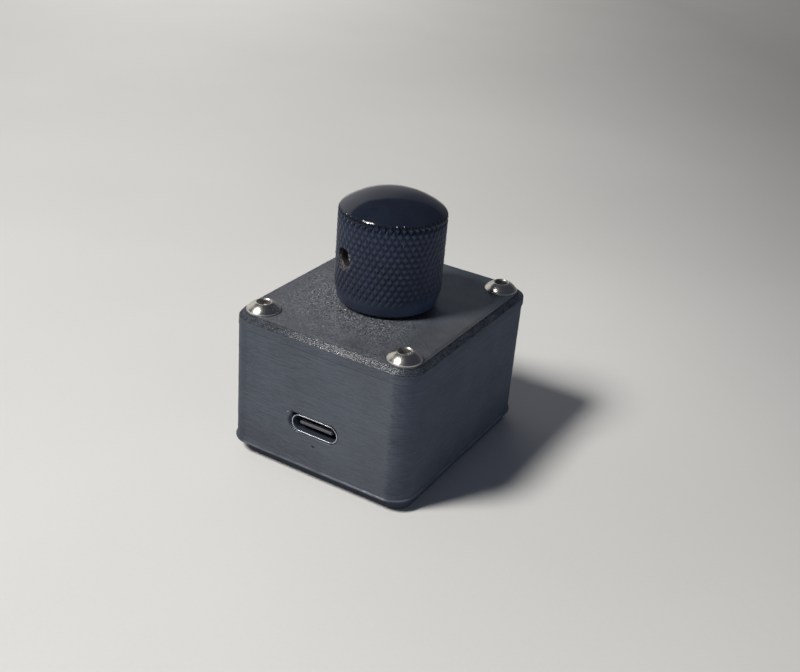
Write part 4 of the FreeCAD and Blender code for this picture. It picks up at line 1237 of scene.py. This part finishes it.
zinc = steel_material("zinc_plated", (0.58, 0.60, 0.62), 0.30)
cast = speckled("die_cast_zinc", (0.50, 0.50, 0.50), 0.40, metallic=1.0, grain=3.0, bump=0.2)
spring = steel_material("spring_steel", (0.62, 0.60, 0.55), 0.24)
black_plastic = speckled("encoder_plastic", (0.030, 0.030, 0.033), 0.45, grain=5.0)
white_plastic = speckled("white_plastic", (0.62, 0.60, 0.55), 0.45, grain=5.0)
chip = speckled("chip_epoxy", (0.020, 0.020, 0.022), 0.55, grain=9.0, bump=0.3)
NODE_MATS = {
    "threaded_inserts": gold("insert_brass"),
    "controller_board": board_material(),
    "usb_c_contacts": steel_material("gold_contacts", (0.36, 0.29, 0.16), 0.40),
    "microcontroller": chip,
    "crystal": steel_material("crystal_can", (0.70, 0.69, 0.66), 0.26),
    "voltage_regulator": speckled("regulator_epoxy", (0.024, 0.024, 0.026), 0.50, grain=8.0, bump=0.3),
    "chip_capacitors": speckled("capacitor_ceramic", (0.42, 0.28, 0.16), 0.50, grain=8.0),
    "chip_resistors": speckled("resistor_ceramic", (0.035, 0.034, 0.036), 0.42, grain=8.0),
    "indicator_leds": speckled("led_lens", (0.80, 0.74, 0.52), 0.25, grain=4.0),
    "reset_switch_case": steel_material("switch_can", (0.66, 0.66, 0.66), 0.28),
    "reset_button": speckled("button_plastic", (0.025, 0.025, 0.028), 0.40, grain=6.0),
    "solder_joints": steel_material("solder", (0.68, 0.68, 0.70), 0.30),
    "board_clamp": print_material("print_clamp", PLA),
    "clamp_screws": zinc,
    "encoder_bushing": cast,
    "encoder_bracket": zinc,
    "encoder_housing": black_plastic,
    "encoder_base": black_plastic,
    "contact_tracks": gold("track_plating"),
    "encoder_pins": steel_material("tinned_pins", (0.70, 0.70, 0.72), 0.26),
    "switch_pins": steel_material("tinned_pins_2", (0.70, 0.70, 0.72), 0.26),
    "detent_spring": spring,
    "encoder_rotor": white_plastic,
    "rotor_wiper": gold("wiper_bronze"),
    "encoder_shaft": steel_material("shaft_aluminium", (0.70, 0.71, 0.73), 0.30),
    "shaft_clip": spring,
    "switch_plunger": white_plastic,
    "switch_dome": spring,
    "panel_washer": zinc,
    "panel_nut": zinc,
    "wire_a": wire_material("wire_red", (0.45, 0.02, 0.02)),
    "wire_b": wire_material("wire_yellow", (0.60, 0.42, 0.03)),
    "wire_common": wire_material("wire_black", (0.02, 0.02, 0.022)),
    "wire_switch_1": wire_material("wire_blue", (0.03, 0.08, 0.35)),
    "wire_switch_2": wire_material("wire_green", (0.03, 0.25, 0.06)),
}
for node, mat in NODE_MATS.items():
    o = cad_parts[node]
    o.data.materials.clear()
    o.data.materials.append(mat)

# the snap dome flattens as the plunger comes down on it; here it is copied unbent, as a piece with a mesh of its own
snap = cad_copy("switch_dome")
snap.name = "snap_dome"
finish_piece(snap, "case", spring, ("switch_dome",), angle=30)
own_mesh(snap)

# ------------------------------------------------------------ floor and lights
def floor_material():
    base = (0.805, 0.798, 0.772)
    m = Mat("pale_table", base, 0.62, 0.0, 0.35)
    fine = m.noise(1.6, 4.0, 0.6)
    big = m.noise(0.02, 2.0)
    t = m.math("ADD", m.remap(big, 0.3, 0.7, 0.985, 1.015), m.remap(fine, 0.3, 0.7, -0.012, 0.012))
    # painted shade: the table top's colour darkens slowly away from the lamp, most of all to the rear right
    x, y, z = m.xyz()
    u = m.math("TANH", m.math("MULTIPLY_ADD", x, 0.8 / 250, m.math("MULTIPLY", y, 0.6 / 250)))
    v = m.math("TANH", m.math("MULTIPLY_ADD", x, -0.6 / 250, m.math("MULTIPLY", y, 0.8 / 250)))
    e = m.math("MULTIPLY_ADD", u, -0.145, -0.088)
    e = m.math("MULTIPLY_ADD", v, -0.061, e)
    e = m.math("MULTIPLY_ADD", m.math("MULTIPLY", u, u), -0.80, e)
    e = m.math("MULTIPLY_ADD", m.math("MULTIPLY", u, v), -0.423, e)
    # painted light: a little lighter in two patches behind the object
    for cx, cy, rad, amp in ((12.0, 70.0, 38.0, 0.15), (-45.0, 180.0, 50.0, 0.11)):
        du = m.math("ADD", x, -cx)
        dv = m.math("ADD", y, -cy)
        d2 = m.math("ADD", m.math("MULTIPLY", du, du), m.math("MULTIPLY", dv, dv))
        e = m.math("MULTIPLY_ADD", m.math("EXPONENT", m.math("MULTIPLY", d2, -1 / (2 * rad ** 2))), amp, e)
    a = m.math("MAXIMUM", m.math("EXPONENT", e), 0.43)
    m.color(m.scale_color(base, m.math("MULTIPLY", t, a)))
    m.rough(m.remap(fine, 0.3, 0.7, 0.58, 0.68))
    m.bump(fine, 0.05, 0.00005)
    return m.m


def build_floor():
    n = 64
    t = np.linspace(0, 2 * np.pi, n, endpoint=False)
    rings = []
    for r in (60.0, 200.0, 700.0, 2500.0):
        rings.append(np.column_stack([r * np.cos(t), r * np.sin(t), np.full(n, -0.01)]))
    v = np.concatenate(rings)
    f = [q[::-1] for q in ring_quads(4, n)]
    f = [[a, b, c, d][::-1] for a, b, c, d in f]
    f = [[a, d, c, b] for a, b, c, d in f]
    f.append(list(range(n)))
    ob = new_object("floor", v, f)
    ob.data.transform(Matrix.Scale(MM, 4))
    ob.data.materials.append(floor_material())
    return ob


floor = build_floor()


def area_light(name, loc, target, size, power, color, size_y=None, shape="DISK"):
    ld = bpy.data.lights.new(name, "AREA")
    ld.shape = shape
    ld.size = size * MM
    if size_y:
        ld.size_y = size_y * MM
    ld.energy = power
    ld.color = color
    ob = bpy.data.objects.new(name, ld)
    bpy.context.scene.collection.objects.link(ob)
    ob.location = Vector(loc) * MM
    d = (Vector(target) - Vector(loc)).normalized()
    ob.rotation_euler = d.to_track_quat("-Z", "Y").to_euler()
    ob.visible_camera = False
    return ob


KEY_DIR = np.array([-0.44, -0.615, 1.0])
KEY_H = 450.0
key = area_light("key", KEY_DIR * KEY_H, (0, 0, 10), 126.0, 3.15, (1.0, 0.985, 0.955), 172.0, "ELLIPSE")
kz = Vector(KEY_DIR).normalized()
kx = Vector((1, 0, 0))
kx = (kx - kx.dot(kz) * kz).normalized()
key.rotation_euler = Matrix((kx, kz.cross(kx), kz)).transposed().to_euler()

# a pool of light on the table behind, which just misses the object
sp = bpy.data.lights.new("rear_pool", "SPOT")
sp.energy = 14.2
sp.spot_size = math.radians(92.0)
sp.spot_blend = 1.0
sp.shadow_soft_size = 0.06
sp.color = (1.0, 0.985, 0.955)
rear = bpy.data.objects.new("rear_pool", sp)
bpy.context.scene.collection.objects.link(rear)
rear.location = Vector((-377.0, 531.0, 667.0)) * MM
rear.visible_camera = False
rear.visible_glossy = False
# a weak cool fill, low on the right, kept out of reflections
fill = area_light("fill", (520, -200, 42), (17, 0, 12), 200.0, 0.62, (0.645, 0.785, 1.0), 50.0, "RECTANGLE")
fill.visible_glossy = False

# The room: a pale wall behind and to the left that fades to the right, dark
# above it, and a low bright band in front. Written by direction.
world = bpy.data.worlds.new("studio")
bpy.context.scene.world = world
world.use_nodes = True
nt = world.node_tree
nt.nodes.clear()


def wmath(op, a, b=None, c=None, clamp=False):
    n = nt.nodes.new("ShaderNodeMath")
    n.operation = op
    n.use_clamp = clamp
    for i, v in enumerate((a, b, c)):
        if v is None:
            continue
        if isinstance(v, (int, float)):
            n.inputs[i].default_value = v
        else:
            nt.links.new(v, n.inputs[i])
    return n.outputs[0]


def wramp(fac, stops):
    """Piecewise-linear value of the azimuth (degrees from the back, left negative)."""
    n = nt.nodes.new("ShaderNodeValToRGB")
    n.color_ramp.interpolation = "LINEAR"
    el = n.color_ramp.elements
    while len(el) > 1:
        el.remove(el[-1])
    for i, (a, v) in enumerate(stops):
        e = el[0] if i == 0 else el.new(a / 360.0 + 0.5)
        e.position = a / 360.0 + 0.5
        e.color = (v, v, v, 1)
    nt.links.new(fac, n.inputs[0])
    b = nt.nodes.new("ShaderNodeRGBToBW")
    nt.links.new(n.outputs[0], b.inputs[0])
    return b.outputs[0]


tcw = nt.nodes.new("ShaderNodeTexCoord")
sep = nt.nodes.new("ShaderNodeSeparateXYZ")
nt.links.new(tcw.outputs["Generated"], sep.inputs[0])
azw = wmath("MULTIPLY_ADD", wmath("ARCTAN2", sep.outputs[0], sep.outputs[1]), 1 / (2 * math.pi), 0.5)
elw = wmath("MULTIPLY", wmath("ARCSINE", sep.outputs[2]), 180 / math.pi)
wall = wramp(azw, [(-180, 0.0), (-104, 0.0), (-90, 0.44), (-72, 0.60), (-57, 0.52), (-47, 0.41), (-38, 0.325), (-28, 0.255),
                   (-18, 0.125), (-8, 0.08), (0, 0.072), (25, 0.045), (70, 0.02), (180, 0.0)])
edge = wramp(azw, [(-180, 0.5), (-90, 0.44), (-74, 0.42), (-54, 0.45), (-46, 0.50), (-32, 0.50), (-15, 0.45), (-7, 0.35),
                   (0, 0.25), (20, 0.2), (180, 0.2)])
under = wmath("MULTIPLY_ADD", wmath("SUBTRACT", wmath("MULTIPLY", edge, 90.0), elw), 0.4, 0.5, clamp=True)
glow = wmath("MULTIPLY", wall, under)
front = wramp(azw, [(-180, 0.30), (-100, 0.25), (-90, 0.0), (60, 0.0), (100, 0.12), (180, 0.30)])
low = wmath("MULTIPLY_ADD", wmath("SUBTRACT", 7.0, elw), 0.2, 0.0, clamp=True)
glow = wmath("ADD", glow, wmath("MULTIPLY", front, low))
tint = nt.nodes.new("ShaderNodeVectorMath")
tint.operation = "SCALE"
tint.inputs[0].default_value = (1.0, 0.97, 0.93)
nt.links.new(glow, tint.inputs["Scale"])
amb = nt.nodes.new("ShaderNodeVectorMath")
amb.operation = "ADD"
amb.inputs[1].default_value = (0.036, 0.040, 0.057)
nt.links.new(tint.outputs[0], amb.inputs[0])
bg = nt.nodes.new("ShaderNodeBackground")
nt.links.new(amb.outputs[0], bg.inputs[0])
bg.inputs[1].default_value = 1.0
wo = nt.nodes.new("ShaderNodeOutputWorld")
nt.links.new(bg.outputs[0], wo.inputs[0])

# --------------------------------------------------------------------- camera
AZ, EL, ROLL = math.radians(28.926), math.radians(27.133), math.radians(4.838)
TX, TY, DIST, FPX = -3.1045, -3.4019, 196.842, 1126.964
back = Vector((math.sin(AZ) * math.cos(EL), -math.cos(AZ) * math.cos(EL), math.sin(EL)))
up = Vector((-math.sin(AZ) * math.sin(EL), math.cos(AZ) * math.sin(EL), math.cos(EL)))
right = up.cross(back)
c, s = math.cos(ROLL), math.sin(ROLL)
right2 = c * right + s * up
up2 = -s * right + c * up
loc = Vector((0, 0, 15.0)) + back * DIST - right2 * TX - up2 * TY
cam_data = bpy.data.cameras.new("camera")
cam_data.sensor_width = 36.0
cam_data.lens = FPX * 36.0 / 800.0
cam_data.clip_start = 0.005
cam_data.clip_end = 20.0
cam = bpy.data.objects.new("camera", cam_data)
bpy.context.scene.collection.objects.link(cam)
m3 = Matrix((right2, up2, back)).transposed()
cam.matrix_world = Matrix.Translation(loc * MM) @ m3.to_4x4()
bpy.context.scene.camera = cam

bpy.context.scene.view_settings.view_transform = "Standard"
bpy.context.scene.view_settings.look = "None"
